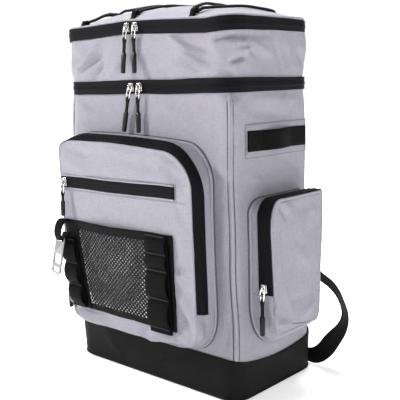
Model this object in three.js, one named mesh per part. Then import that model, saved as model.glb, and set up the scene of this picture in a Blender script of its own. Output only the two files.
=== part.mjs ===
// Cooler backpack: an insulated box bag with a zipped main compartment, a zipped upper compartment
// under a domed lid, a front pocket with a net pocket on it, and a pocket on each side.
// Millimetres, +Z up. The front faces -Y. The origin is under the middle of the whole bag.
import * as THREE from 'three';

// Body and upper compartment
const BODY_WIDTH = 320;
const BODY_DEPTH = 177;
const BODY_HEIGHT = 407.5;
const UPPER_HEIGHT = 75;
const CORNER_RADIUS = 30;
const WALL = 7;
const BACK_FOOT = 91;
const BACK_LEAN = 6.5;
const JOINT_GAP = 0.3;

// Lid
const LID_SKIRT = 8.5;
const LID_CROWN = 22;
const LID_WALL = 5;

// Base boot
const BOOT_HEIGHT = 59;
const BOOT_DIP = 12;
const BOOT_WALL = 2;
const BOOT_FLOOR = 2.5;

// Cloth, tapes and clearances
const FIT = 0.3;
const CLOTH = 2;
const TAPE_THICK = 1.8;
const PIPING_RADIUS = 2;
const BODY_ZIP_WIDTH = 17;
const WELT_WIDTH = 8;
const WELT_THICK = 1.6;
const ZIP_WAVE = 4;

// Front pocket
const POCKET_WIDTH = 254;
const POCKET_BOTTOM = 68;
const POCKET_TOP = 343;
const POCKET_DEPTH_LOW = 35;
const POCKET_DEPTH_HIGH = 42;
const POCKET_CROWN = 1.2;
const POCKET_ZIP_FOOT = 126;
const SLOT_ZIP_WIDTH = 15;
const SLOT_ZIP_LENGTH = 215;
const SLOT_ZIP_HEIGHT = 277;

// Net pocket on the front pocket
const NET_TOP = 223;
const NET_HEIGHT = 127;
const NET_WIDTH = 212;
const NET_RIM = 3;
const NET_BOW = 9;
const NET_THICK = 1.2;
const NET_TOP_BINDING = 12;
const NET_FOOT_BINDING = 9;
const NET_COLUMNS = 7;
const NET_ROWS = 9;
const NET_STRAND = 5;

// Webbing
const CHAIN_WIDTH = 38;
const WEBBING_THICK = 1.6;
const LOOP_WIDTH = 13;
const HANDLE_WIDTH = 26;
const HANDLE_LENGTH = 124;
const HANDLE_HEIGHT = 338;
const HANDLE_BOW = 10;
const PATCH_WIDTH = 41;
const PATCH_LENGTH = 130;
const LOWER_WEBBING_WIDTH = 25;

// Bottle opener
const OPENER_LENGTH = 60;
const OPENER_WIDTH = 20;
const OPENER_THICK = 2.5;

// Side pockets
const SIDE_POCKET_WIDTH = 114;
const SIDE_POCKET_BOTTOM = 79;
const SIDE_POCKET_TOP = 265;
const SIDE_POCKET_DEPTH = 35;
const SIDE_ZIP_FOOT = 145;

// Zip sliders and pulls
const SLIDER_LENGTH = 12;
const SLIDER_WIDTH = 8;
const SLIDER_THICK = 5;
const SLIDER_SPACING = 16;
const PULL_CORD_RADIUS = 1.3;
const PULL_TAB_WIDTH = 8;
const PULL_TAB_THICK = 4;
const PULL_TAB_LENGTH = 26;

// Bungee on the lid
const BUNGEE_RADIUS = 1.5;
const TAB_WIDTH = 7;
const TAB_LENGTH = 16;
const LOCK_LENGTH = 16;
const LOCK_WIDTH = 13;

// Back panel and shoulder straps
const PANEL_WIDTH = 270;
const PANEL_BOTTOM = 66;
const PANEL_TOP = 388;
const PANEL_THICK = 12;
const STRAP_WIDTH = 68;
const STRAP_THICK = 11;
const BUCKLE_WIDTH = 36;
const BUCKLE_HEIGHT = 26;
const BUCKLE_THICK = 4;

// Body outline at a share of its height: shares of half the width and half the depth
const BODY_FORM = [
  { at: 0, side: 0.985, front: 0.975 },
  { at: 0.15, side: 1, front: 1 },
  { at: 0.34, side: 1.003, front: 1.033 },
  { at: 0.47, side: 1.003, front: 1.051 },
  { at: 0.6, side: 1.001, front: 1.058 },
  { at: 0.7, side: 0.999, front: 1.053 },
  { at: 0.8, side: 0.997, front: 1.038 },
  { at: 0.93, side: 0.994, front: 1.008 },
  { at: 0.976, side: 0.985, front: 0.985 },
  { at: 1, side: 0.985, front: 0.985 },
];

// Upper compartment outline at a share of its height
const UPPER_FORM = [
  { at: 0, side: 0.985, front: 0.985, back: 0.955 },
  { at: 0.12, side: 0.985, front: 0.985, back: 0.957 },
  { at: 0.24, side: 0.996, front: 1.002, back: 0.975 },
  { at: 0.5, side: 1.004, front: 1.012, back: 0.99 },
  { at: 0.75, side: 1.006, front: 1.008, back: 0.992 },
  { at: 0.88, side: 1, front: 0.99, back: 0.985 },
  { at: 1, side: 1, front: 0.99, back: 0.985 },
];

// Soft creases of the upper compartment: start and end along the wall from the front middle as a
// share of half the wall's run, and up it as a share of its height; depth in share of the wall
const UPPER_FOLDS = [
  { along: 0.18, up: 0.78, endAlong: 0.42, endUp: 0.22, depth: 0.5, reach: 0.16 },
  { along: 0.42, up: 0.86, endAlong: 0.56, endUp: 0.66, depth: 0.75, reach: 0.16 },
  { along: 0.62, up: 0.72, endAlong: 0.74, endUp: 0.4, depth: 0.4, reach: 0.16 },
  { along: -0.42, up: 0.75, endAlong: -0.54, endUp: 0.15, depth: 0.5, reach: 0.16 },
];

// Rise of the top zip along the front, in shares of half the width and of the wave's height
const TOP_WAVE = [
  { along: -1, rise: 0 },
  { along: -0.6, rise: 0.3 },
  { along: -0.15, rise: 1 },
  { along: 0.35, rise: 0.2 },
  { along: 0.75, rise: -0.6 },
  { along: 1, rise: 0 },
];

// Lid outline from its rim to its middle
const LID_RINGS = [
  { share: 0.93 },
  { share: 0.78 },
  { share: 0.56 },
  { share: 0.28 },
];

// Lid tabs: shares of half the body's width and depth, and which way the cloth tail points
const LID_TABS = [
  { name: 'bungee_tab_front_left', x: -0.76, y: -0.79, tail: -1 },
  { name: 'bungee_tab_back_left', x: -0.5, y: 0.66, tail: 1 },
  { name: 'bungee_tab_front_middle', x: -0.1, y: -0.79, tail: -1 },
  { name: 'bungee_tab_back_right', x: 0.25, y: 0.66, tail: 1 },
  { name: 'bungee_tab_front_right', x: 0.6, y: -0.79, tail: -1 },
];

// Loops of the two chain straps: where each starts and ends down the strap, and how far it stands off
const CHAIN_RIGHT_LOOPS = [
  { from: 0.05, to: 0.17, bulge: 5 },
  { from: 0.21, to: 0.34, bulge: 6 },
  { from: 0.38, to: 0.63, bulge: 11 },
  { from: 0.73, to: 0.93, bulge: 9 },
];
const CHAIN_LEFT_LOOPS = [
  { from: 0.3, to: 0.55, bulge: 12 },
  { from: 0.6, to: 0.78, bulge: 12 },
  { from: 0.82, to: 0.95, bulge: 9 },
];

// Route of the right shoulder strap: sideways, off the back panel and up, in mm
const STRAP_ROUTE = [
  { x: 50, off: 3.3, z: 384, width: 0.7 },
  { x: 52, off: 10, z: 374, width: 0.85 },
  { x: 55, off: 24, z: 352, width: 1 },
  { x: 59, off: 34, z: 318, width: 1 },
  { x: 63, off: 37, z: 282, width: 1 },
  { x: 69, off: 34, z: 246, width: 1 },
  { x: 77, off: 26, z: 212, width: 0.92 },
  { x: 86, off: 18, z: 184, width: 0.75 },
  { x: 92, off: 14, z: 166, width: 0.55 },
];

// Route of the right lower webbing from the buckle to the foot of the back: sideways, behind the
// back panel's face, up, and the webbing's turn about its own run in degrees
const LOWER_ROUTE = [
  { x: 96, off: 9.6, z: 132, turn: 90, width: 1 },
  { x: 113, off: 9.6, z: 132, turn: 90, width: 1 },
  { x: 124, off: 12, z: 132, turn: 56, width: 1 },
  { x: 138, off: 13.5, z: 132, turn: 20, width: 1 },
  { x: 156, off: 9, z: 131.5, turn: 5, width: 1 },
  { x: 175, off: 4, z: 129, turn: 2, width: 1 },
  { x: 191, off: 0, z: 121, turn: 4, width: 1 },
  { x: 202, off: -3, z: 107, turn: 12, width: 1 },
  { x: 206, off: -4, z: 90, turn: 24, width: 1 },
  { x: 203, off: -5, z: 74, turn: 40, width: 1 },
  { x: 194, off: -5, z: 57, turn: 58, width: 1 },
  { x: 181, off: -5, z: 40, turn: 74, width: 1 },
  { x: 167, off: -6, z: 24, turn: 86, width: 1 },
  { x: 153, off: -8, z: 13, turn: 90, width: 0.9 },
  { x: 126, off: -9.2, z: 11, turn: 90, width: 0.6 },
];

const GREY_CLOTH = new THREE.MeshStandardMaterial({ color: 0xc5c2cd, roughness: 0.9 });
const BLACK_CLOTH = new THREE.MeshStandardMaterial({ color: 0x1c1c1e, roughness: 0.9 });
const BLACK_TAPE = new THREE.MeshStandardMaterial({ color: 0x29282c, roughness: 0.65 });
const BLACK_NET = new THREE.MeshStandardMaterial({ color: 0x19191b, roughness: 0.85 });
const BLACK_PLASTIC = new THREE.MeshStandardMaterial({ color: 0x151516, roughness: 0.5 });
const NICKEL = new THREE.MeshStandardMaterial({ color: 0xc9cacc, roughness: 0.25, metalness: 1 });
const STEEL = new THREE.MeshStandardMaterial({ color: 0xa9aaad, roughness: 0.35, metalness: 1 });

const bag = new THREE.Group();

// Add a finished piece to the bag
function addPiece(name, geometry, material) {
  const mesh = new THREE.Mesh(geometry, material);
  mesh.name = name;
  bag.add(mesh);
  return mesh;
}

function mix(a, b, t) {
  return a + (b - a) * t;
}

function clamp(value, low, high) {
  return Math.min(Math.max(value, low), high);
}

// Value of one column of a table between its rows
function tableValue(rows, key, at, column) {
  let i = 1;
  while (i < rows.length - 1 && rows[i][key] < at) {
    i += 1;
  }
  const a = rows[i - 1];
  const b = rows[i];
  const t = clamp((at - a[key]) / (b[key] - a[key]), 0, 1);
  return mix(a[column], b[column], t);
}

// Closed body through rings of points. Its two ends are closed by fans, unless the rings meet.
function bodyThroughRings(rings, meet = false) {
  const count = rings[0].length;
  const points = rings.flat();
  const faces = [];
  const bands = meet ? rings.length : rings.length - 1;
  for (let r = 0; r < bands; r += 1) {
    const a = r * count;
    const b = ((r + 1) % rings.length) * count;
    for (let i = 0; i < count; i += 1) {
      const j = (i + 1) % count;
      faces.push([a + i, a + j, b + j], [a + i, b + j, b + i]);
    }
  }
  if (!meet) {
    [0, rings.length - 1].forEach((r) => {
      const middle = new THREE.Vector3();
      rings[r].forEach((p) => middle.addScaledVector(p, 1 / count));
      const tip = points.push(middle) - 1;
      for (let i = 0; i < count; i += 1) {
        const j = (i + 1) % count;
        faces.push(r === 0 ? [tip, r * count + j, r * count + i] : [tip, r * count + i, r * count + j]);
      }
    });
  }
  return closedGeometry(points, faces);
}

// Geometry with its faces turned outwards
function closedGeometry(points, faces) {
  let volume = 0;
  faces.forEach(([a, b, c]) => {
    volume += points[a].dot(new THREE.Vector3().crossVectors(points[b], points[c]));
  });
  const turned = volume < 0 ? faces.map(([a, b, c]) => [a, c, b]) : faces;
  const geometry = new THREE.BufferGeometry();
  geometry.setAttribute('position', new THREE.Float32BufferAttribute(points.flatMap((p) => [p.x, p.y, p.z]), 3));
  geometry.setIndex(turned.flat());
  geometry.computeVertexNormals();
  return geometry;
}

// Strip with a rectangular section along a route of stations, each with a point, the direction of
// its width and the direction of its thickness
function strip(stations, width, thick) {
  const rings = stations.map(({ point, across, out, share = 1 }) => {
    const half = (width * share) / 2;
    return [[-half, 0], [half, 0], [half, thick], [-half, thick]].map(([w, t]) =>
      point.clone().addScaledVector(across, w).addScaledVector(out, t));
  });
  return bodyThroughRings(rings);
}

// Plan outline of the body: half width, front and back reach, pulled in by an inset
const CORNER_STEPS = 4;
const FRONT_STEPS = 10;
const SIDE_STEPS = 6;

function planOutline(form, inset) {
  const side = form.side - inset;
  const front = form.front - inset;
  const back = form.back - inset;
  const radius = Math.max(CORNER_RADIUS - inset, 1);
  const corners = [
    { x: -(side - radius), y: back - radius, from: 90, steps: SIDE_STEPS },
    { x: -(side - radius), y: -(front - radius), from: 180, steps: FRONT_STEPS },
    { x: side - radius, y: -(front - radius), from: 270, steps: SIDE_STEPS },
    { x: side - radius, y: back - radius, from: 0, steps: 4 },
  ];
  const outline = [];
  corners.forEach((corner, c) => {
    for (let k = 0; k <= CORNER_STEPS; k += 1) {
      const angle = THREE.MathUtils.degToRad(corner.from + (90 * k) / CORNER_STEPS);
      outline.push({ x: corner.x + radius * Math.cos(angle), y: corner.y + radius * Math.sin(angle) });
    }
    const next = corners[(c + 1) % corners.length];
    const end = THREE.MathUtils.degToRad(corner.from + 90);
    const from = { x: corner.x + radius * Math.cos(end), y: corner.y + radius * Math.sin(end) };
    const to = { x: next.x + radius * Math.cos(end), y: next.y + radius * Math.sin(end) };
    for (let k = 1; k < corner.steps; k += 1) {
      outline.push({ x: mix(from.x, to.x, k / corner.steps), y: mix(from.y, to.y, k / corner.steps) });
    }
  });
  return outline;
}

// Outline of the body at a height, in mm
function bodyForm(z) {
  const at = clamp(z / BODY_HEIGHT, 0, 1);
  return {
    side: (BODY_WIDTH / 2) * tableValue(BODY_FORM, 'at', at, 'side'),
    front: (BODY_DEPTH / 2) * tableValue(BODY_FORM, 'at', at, 'front'),
    back: BACK_FOOT - BACK_LEAN * at,
  };
}

function upperForm(at) {
  return {
    side: (BODY_WIDTH / 2) * tableValue(UPPER_FORM, 'at', at, 'side'),
    front: (BODY_DEPTH / 2) * tableValue(UPPER_FORM, 'at', at, 'front'),
    back: (BODY_DEPTH / 2) * tableValue(UPPER_FORM, 'at', at, 'back'),
  };
}

function ringAt(outline, height) {
  return outline.map((p, i) => new THREE.Vector3(p.x, p.y, typeof height === 'function' ? height(p, i) : height));
}

// Heights of the seams
const ZIP_SEAM = BODY_HEIGHT;
const TOP_SEAM = BODY_HEIGHT + UPPER_HEIGHT;
const LID_RIM = TOP_SEAM + LID_SKIRT;
const SHELL_FLOOR = BOOT_FLOOR + FIT;

// Rise of the top zip at a point of the outline: only along the front
function topWave(p) {
  const forward = clamp(-p.y / (BODY_DEPTH / 2), 0, 1);
  const along = clamp(p.x / (BODY_WIDTH / 2), -1, 1);
  return ZIP_WAVE * tableValue(TOP_WAVE, 'along', along, 'rise') * forward * forward;
}

// Body: a padded tub, open at the top
function makeBody() {
  const outer = BODY_FORM.map((row, i) => {
    const z = i === 0 ? SHELL_FLOOR : row.at * BODY_HEIGHT - (row.at === 1 ? JOINT_GAP / 2 : 0);
    return ringAt(planOutline(bodyForm(z), 0), z);
  });
  const inside = [BODY_HEIGHT - JOINT_GAP / 2, SHELL_FLOOR + WALL];
  const inner = inside.map((z) => ringAt(planOutline(bodyForm(z), WALL), z));
  addPiece('body_shell', bodyThroughRings([...outer, ...inner]), GREY_CLOTH);
}

// How far the creases press the upper compartment's wall in at a station
function creaseDepth(along, up) {
  let depth = 0;
  UPPER_FOLDS.forEach((fold) => {
    const run = [fold.endAlong - fold.along, fold.endUp - fold.up];
    const length = run[0] * run[0] + run[1] * run[1];
    const t = clamp(((along - fold.along) * run[0] + (up - fold.up) * run[1]) / length, 0, 1);
    const away = Math.hypot(along - fold.along - run[0] * t, up - fold.up - run[1] * t);
    depth += WALL * fold.depth * Math.max(0, 1 - away / fold.reach) * 0.5;
  });
  return Math.min(depth, WALL * 0.6);
}

// Upper compartment: a padded tub that stands on the body's rim
function makeUpper() {
  const heightAt = (at) => (p) => ZIP_SEAM + JOINT_GAP / 2 + (UPPER_HEIGHT - JOINT_GAP) * at
    + topWave(p) * at;
  const outer = UPPER_FORM.map((row) => {
    const form = upperForm(row.at);
    const outline = planOutline(form, 0);
    const creased = planOutline(form, 1).map((inset, i) => {
      const p = outline[i];
      const along = (p.x / form.side) * 0.5 + Math.sign(p.x) * clamp((p.y + form.front) / form.front, 0, 1) * 0.5;
      const press = row.at > 0.12 && row.at < 0.88 ? creaseDepth(along, row.at) : 0;
      return { x: mix(p.x, inset.x, press), y: mix(p.y, inset.y, press) };
    });
    return ringAt(creased, heightAt(row.at));
  });
  const inner = [
    ringAt(planOutline(upperForm(1), WALL), heightAt(1)),
    ringAt(planOutline(upperForm(0.5), WALL + 2), heightAt(0.5)),
    ringAt(planOutline(upperForm(0), WALL), ZIP_SEAM + JOINT_GAP / 2 + WALL),
  ];
  addPiece('upper_shell', bodyThroughRings([...outer, ...inner]), GREY_CLOTH);
}

// Height of the lid's dome over a point of its plan
function lidHeight(x, y) {
  const u = clamp(Math.abs(x) / (BODY_WIDTH / 2 - 2), 0, 1);
  const v = clamp(Math.abs(y) / (BODY_DEPTH / 2 - 2), 0, 1);
  return LID_RIM + LID_CROWN * (1 - u ** 3) * (1 - v ** 4) + topWave({ x, y });
}

// Lid: a domed padded panel, open underneath
function makeLid() {
  const form = upperForm(1);
  const rim = planOutline(form, 0);
  const scaled = (share) => rim.map((p) => ({ x: p.x * share, y: p.y * share }));
  const dome = LID_RINGS.map((row) => ringAt(scaled(row.share), (p) => lidHeight(p.x, p.y))).reverse();
  const skirt = [
    ringAt(rim, (p) => LID_RIM - 1 + topWave(p)),
    ringAt(rim, (p) => TOP_SEAM + JOINT_GAP / 2 + topWave(p)),
  ];
  const under = planOutline(form, LID_WALL);
  const inner = [
    ringAt(under, (p) => TOP_SEAM + JOINT_GAP / 2 + topWave(p)),
    ringAt(scaled(0.55), (p) => lidHeight(p.x, p.y) - LID_WALL),
  ];
  addPiece('lid_panel', bodyThroughRings([...dome, ...skirt, ...inner]), GREY_CLOTH);
}

// Boot: the tough cloth cup under the body. Its top edge dips along the sides.
function bootTop(p) {
  const forward = clamp(Math.abs(p.y) / (BODY_DEPTH / 2), 0, 1);
  const sideways = clamp((Math.abs(p.x) - BODY_WIDTH / 2 + CORNER_RADIUS) / CORNER_RADIUS, 0, 1);
  return BOOT_HEIGHT - BOOT_DIP * sideways * (1 - forward * forward);
}

function makeBoot() {
  const seat = -FIT;
  const skin = -(FIT + BOOT_WALL);
  const top = planOutline(bodyForm(BOOT_HEIGHT), skin);
  const edge = (inset) => planOutline(bodyForm(BOOT_HEIGHT), inset).map((p, i) => {
    const z = bootTop(top[i]);
    const q = planOutline(bodyForm(z), inset)[i];
    return new THREE.Vector3(q.x, q.y, z);
  });
  const rings = [
    ringAt(planOutline(bodyForm(0), skin + 5), 0),
    ringAt(planOutline(bodyForm(0), skin + 1.2), 1.5),
    ringAt(planOutline(bodyForm(7), skin), 7),
    edge(skin),
    edge(seat),
    ringAt(planOutline(bodyForm(SHELL_FLOOR), seat), BOOT_FLOOR),
  ];
  addPiece('base_boot', bodyThroughRings(rings), BLACK_CLOTH);
}

// Zip band round the front and both sides, proud of the cloth on both sides of a seam
function makeBodyZip(name, form, seam, wave) {
  const inner = planOutline(form, -FIT);
  const outer = planOutline(form, -(FIT + TAPE_THICK));
  const first = CORNER_STEPS - 2;
  const last = 3 * CORNER_STEPS + 2 * SIDE_STEPS + FRONT_STEPS + 2;
  const rings = [];
  for (let i = first; i <= last; i += 1) {
    const half = (BODY_ZIP_WIDTH / 2) * (i === first || i === last ? 0.55 : 1);
    const middle = seam + (wave ? topWave(outer[i]) : 0);
    rings.push([
      new THREE.Vector3(inner[i].x, inner[i].y, middle - half),
      new THREE.Vector3(inner[i].x, inner[i].y, middle + half),
      new THREE.Vector3(outer[i].x, outer[i].y, middle + half),
      new THREE.Vector3(outer[i].x, outer[i].y, middle - half),
    ]);
  }
  addPiece(name, bodyThroughRings(rings), BLACK_TAPE);
}

// Flat cloth welt up a front corner of the body
function makeCornerWelt(name, hand) {
  const low = BOOT_HEIGHT + 1;
  const high = ZIP_SEAM - BODY_ZIP_WIDTH / 2 - FIT;
  const heights = [low, ...BODY_FORM.map((row) => row.at * BODY_HEIGHT).filter((z) => z > low + 2 && z < high - 2), high];
  const middle = THREE.MathUtils.degToRad(-42);
  const rings = heights.map((z) => {
    const form = bodyForm(z);
    const spread = WELT_WIDTH / 2 / CORNER_RADIUS;
    const at = (angle, offset) => new THREE.Vector3(
      hand * (form.side - CORNER_RADIUS + (CORNER_RADIUS + offset) * Math.cos(angle)),
      -(form.front - CORNER_RADIUS) + (CORNER_RADIUS + offset) * Math.sin(angle),
      z,
    );
    return [
      at(middle - spread, FIT),
      at(middle + spread, FIT),
      at(middle + spread, FIT + WELT_THICK * 0.5),
      at(middle, FIT + WELT_THICK),
      at(middle - spread, FIT + WELT_THICK * 0.5),
    ];
  });
  addPiece(name, bodyThroughRings(rings), GREY_CLOTH);
}

// Rounded outline of a pocket in its own plane: across and up, with its own reach at each corner.
// It starts at the middle of the bottom and runs across, up, back and down.
const POCKET_CORNER_STEPS = 5;

function pocketOutline(shape, inset) {
  const left = shape.left + inset;
  const right = shape.right - inset;
  const low = shape.bottom + inset;
  const high = shape.top - inset;
  const corners = [
    { x: right, z: low, sx: -1, sz: 1, reach: shape.lowRight, from: 270 },
    { x: right, z: high, sx: -1, sz: -1, reach: shape.highRight, from: 0 },
    { x: left, z: high, sx: 1, sz: -1, reach: shape.highLeft, from: 90 },
    { x: left, z: low, sx: 1, sz: 1, reach: shape.lowLeft, from: 180 },
  ].map((corner) => ({
    ...corner,
    across: Math.max(corner.reach.across - inset, 0.5),
    up: Math.max(corner.reach.up - inset, 0.5),
  }));
  const outline = [];
  corners.forEach((corner, c) => {
    const centre = { x: corner.x + corner.sx * corner.across, z: corner.z + corner.sz * corner.up };
    for (let k = 0; k <= POCKET_CORNER_STEPS; k += 1) {
      const angle = THREE.MathUtils.degToRad(corner.from + (90 * k) / POCKET_CORNER_STEPS);
      outline.push({ x: centre.x + corner.across * Math.cos(angle), z: centre.z + corner.up * Math.sin(angle) });
    }
    const next = corners[(c + 1) % corners.length];
    const from = outline[outline.length - 1];
    const start = THREE.MathUtils.degToRad(next.from);
    const to = {
      x: next.x + next.sx * next.across + next.across * Math.cos(start),
      z: next.z + next.sz * next.up + next.up * Math.sin(start),
    };
    for (let k = 1; k < shape.steps; k += 1) {
      outline.push({ x: mix(from.x, to.x, k / shape.steps), z: mix(from.z, to.z, k / shape.steps) });
    }
  });
  return outline;
}

// Pocket shell: a boxed cloth pocket, open towards the wall that it is sewn to.
// place(across, up, share, lift) gives the point at a share of the way from the wall to the face.
function makePocketShell(name, shape, place, gusset, crown) {
  const ring = (inset, share, lift = 0) => pocketOutline(shape, inset).map((p) => place(p.x, p.z, share, lift));
  const rings = [
    ring(8, 1, crown),
    ring(3, 1, crown * 0.4),
    ring(0, gusset.front),
    ring(0, gusset.back),
    ring(3, 0),
    ring(3 + CLOTH, 0),
    ring(CLOTH, gusset.back),
    ring(CLOTH + 1, gusset.front, -CLOTH),
    ring(CLOTH + 4, 1, -CLOTH),
  ];
  addPiece(name, bodyThroughRings(rings), GREY_CLOTH);
}

// Corded piping in the crook between a pocket and the wall
function makePocketPiping(name, shape, place, sides) {
  const lift = PIPING_RADIUS + FIT;
  const centre = pocketOutline(shape, 0.2).map((p) => place(p.x, p.z, 0, lift));
  const outward = pocketOutline(shape, -0.8).map((p, i) => place(p.x, p.z, 0, lift).sub(centre[i]).normalize());
  const raised = pocketOutline(shape, 0.2).map((p, i) => place(p.x, p.z, 0, lift + 1).sub(centre[i]).normalize());
  const rings = centre.map((point, i) => {
    const ring = [];
    for (let k = 0; k < sides; k += 1) {
      const angle = (2 * Math.PI * k) / sides;
      ring.push(point.clone()
        .addScaledVector(outward[i], PIPING_RADIUS * Math.cos(angle))
        .addScaledVector(raised[i], PIPING_RADIUS * Math.sin(angle)));
    }
    return ring;
  });
  addPiece(name, bodyThroughRings(rings, true), GREY_CLOTH);
}

// Zip band over the arch of a pocket's gusset, from one foot to the other
function makePocketZip(name, shape, place, gusset, foot) {
  const inner = pocketOutline(shape, -FIT);
  const outer = pocketOutline(shape, -(FIT + TAPE_THICK));
  const back = mix(gusset.back, gusset.front, 0.03);
  const front = mix(gusset.back, gusset.front, 0.98);
  const rings = [];
  for (let i = 0; i < inner.length; i += 1) {
    const onSide = Math.abs(inner[i].x - (shape.left + shape.right) / 2) > (shape.right - shape.left) * 0.3;
    if (inner[i].z > foot - 1 || (!onSide && inner[i].z > (shape.bottom + shape.top) / 2)) {
      rings.push([
        place(inner[i].x, inner[i].z, back),
        place(inner[i].x, inner[i].z, front),
        place(outer[i].x, outer[i].z, front),
        place(outer[i].x, outer[i].z, back),
      ]);
    }
  }
  addPiece(name, bodyThroughRings(rings), BLACK_TAPE);
}

// Front pocket: sewn to the front of the body, a little deeper at its top
const FRONT_POCKET = {
  left: -POCKET_WIDTH / 2,
  right: POCKET_WIDTH / 2,
  bottom: POCKET_BOTTOM,
  top: POCKET_TOP,
  lowRight: { across: 35, up: 30 },
  highRight: { across: 90, up: 75 },
  highLeft: { across: 45, up: 32 },
  lowLeft: { across: 30, up: 26 },
  steps: 5,
};
const FRONT_GUSSET = { back: 0.38, front: 0.96 };

function faceReach(z) {
  const at = (z - POCKET_BOTTOM) / (POCKET_TOP - POCKET_BOTTOM);
  return BODY_DEPTH / 2 + mix(POCKET_DEPTH_LOW, POCKET_DEPTH_HIGH, at);
}

function placeOnFront(x, z, share, lift = 0) {
  const wall = bodyForm(z).front + FIT;
  return new THREE.Vector3(x, -(mix(wall, faceReach(z), share) + lift), z);
}

// Point in front of the front pocket's face
function onPocketFace(x, z, lift) {
  return new THREE.Vector3(x, -(faceReach(z) + POCKET_CROWN + lift), z);
}

// Side pockets: the right one, or its mirror image
function sidePocketShape() {
  return {
    left: -SIDE_POCKET_WIDTH / 2,
    right: SIDE_POCKET_WIDTH / 2,
    bottom: SIDE_POCKET_BOTTOM,
    top: SIDE_POCKET_TOP,
    lowRight: { across: 26, up: 66 },
    highRight: { across: 22, up: 24 },
    highLeft: { across: 22, up: 24 },
    lowLeft: { across: 26, up: 66 },
    steps: 3,
  };
}
const SIDE_GUSSET = { back: 0.42, front: 0.96 };

function placeOnSide(hand) {
  return (y, z, share, lift = 0) => {
    const wall = bodyForm(z).side + FIT;
    const reach = BODY_WIDTH / 2 + SIDE_POCKET_DEPTH;
    return new THREE.Vector3(hand * (mix(wall, reach, share) + lift), y, z);
  };
}

// Zip slider: a nickel body with a raised bridge. Its length runs along the zip.
function makeSlider(name, point, along, out) {
  const across = new THREE.Vector3().crossVectors(out, along).normalize();
  const profile = [
    { at: -0.5, width: 0.55, thick: 0.45 },
    { at: -0.2, width: 0.8, thick: 0.9 },
    { at: 0.2, width: 1, thick: 1 },
    { at: 0.5, width: 1, thick: 0.45 },
  ];
  const rings = profile.map((row) => {
    const half = (SLIDER_WIDTH * row.width) / 2;
    const centre = point.clone().addScaledVector(along, SLIDER_LENGTH * row.at);
    return [[-half, 0], [half, 0], [half * 0.6, row.thick], [-half * 0.6, row.thick]].map(([w, t]) =>
      centre.clone().addScaledVector(across, w).addScaledVector(out, t * SLIDER_THICK));
  });
  addPiece(name, bodyThroughRings(rings), NICKEL);
}

// Zip pull: a cord that swells into a moulded tab. It hangs from the point where it starts.
function makePull(name, start, down, out, cordLength) {
  const across = new THREE.Vector3().crossVectors(out, down).normalize();
  const tabWide = PULL_TAB_WIDTH / 2;
  const tabThick = PULL_TAB_THICK / 2;
  const profile = [
    { at: 0, wide: PULL_CORD_RADIUS, thick: PULL_CORD_RADIUS },
    { at: cordLength, wide: PULL_CORD_RADIUS, thick: PULL_CORD_RADIUS },
    { at: cordLength + 1.5, wide: tabWide * 0.8, thick: tabThick },
    { at: cordLength + PULL_TAB_LENGTH * 0.6, wide: tabWide, thick: tabThick },
    { at: cordLength + PULL_TAB_LENGTH - 2, wide: tabWide * 0.9, thick: tabThick },
    { at: cordLength + PULL_TAB_LENGTH, wide: tabWide * 0.5, thick: tabThick * 0.5 },
  ];
  const sides = 6;
  const rings = profile.map((row) => {
    const centre = start.clone().addScaledVector(down, row.at).addScaledVector(out, tabThick);
    const ring = [];
    for (let k = 0; k < sides; k += 1) {
      const angle = (2 * Math.PI * k) / sides;
      ring.push(centre.clone()
        .addScaledVector(across, row.wide * Math.cos(angle))
        .addScaledVector(out, row.thick * Math.sin(angle)));
    }
    return ring;
  });
  addPiece(name, bodyThroughRings(rings), BLACK_PLASTIC);
}

const UP = new THREE.Vector3(0, 0, 1);
const DOWN = new THREE.Vector3(0, 0, -1);
const RIGHT = new THREE.Vector3(1, 0, 0);
const FRONT = new THREE.Vector3(0, -1, 0);
const BACK = new THREE.Vector3(0, 1, 0);

// Pair of sliders that meet on a body zip, with their pulls hanging under them
function makeBodySliders(prefix, reach, seam, middle) {
  [-1, 1].forEach((hand) => {
    const side = hand < 0 ? 'left' : 'right';
    const x = middle + (hand * SLIDER_SPACING) / 2;
    const face = reach + FIT + TAPE_THICK + FIT;
    const point = new THREE.Vector3(x, -face, seam);
    makeSlider(`${prefix}_slider_${side}`, point, RIGHT.clone().multiplyScalar(hand), FRONT);
    const lean = new THREE.Vector3(hand * 0.06, 0, -1).normalize();
    const start = new THREE.Vector3(x, -(face + 1.5), seam - SLIDER_WIDTH / 2 + FIT);
    makePull(`${prefix}_pull_${side}`, start, lean, FRONT, 30);
  });
}

function makeSlotZip() {
  const left = FRONT_POCKET.left + 9;
  const half = SLOT_ZIP_WIDTH / 2;
  const rings = [left, left + SLOT_ZIP_LENGTH].map((x) => [
    onPocketFace(x, SLOT_ZIP_HEIGHT - half, FIT),
    onPocketFace(x, SLOT_ZIP_HEIGHT + half, FIT),
    onPocketFace(x, SLOT_ZIP_HEIGHT + half, FIT + TAPE_THICK * 0.6),
    onPocketFace(x, SLOT_ZIP_HEIGHT - half, FIT + TAPE_THICK * 0.6),
  ]);
  addPiece('slot_zip', bodyThroughRings(rings), BLACK_TAPE);
  const lift = FIT * 2 + TAPE_THICK * 0.6;
  makeSlider('slot_slider', onPocketFace(left + 6, SLOT_ZIP_HEIGHT, lift), RIGHT.clone().negate(), FRONT);
  const start = onPocketFace(left + 6, SLOT_ZIP_HEIGHT - SLIDER_WIDTH / 2 - FIT, lift + 0.5);
  makePull('slot_pull', start, new THREE.Vector3(-0.06, -0.02, -1).normalize(), FRONT, 12);
}

// Net pocket: a bound frame and the net inside it, both bowed away from the pocket's face at the top
const NET = {
  left: -118,
  right: -118 + NET_WIDTH,
  bottom: NET_TOP - NET_HEIGHT,
  innerLeft: -118 + 30,
  innerRight: -118 + NET_WIDTH - 44,
};

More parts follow.
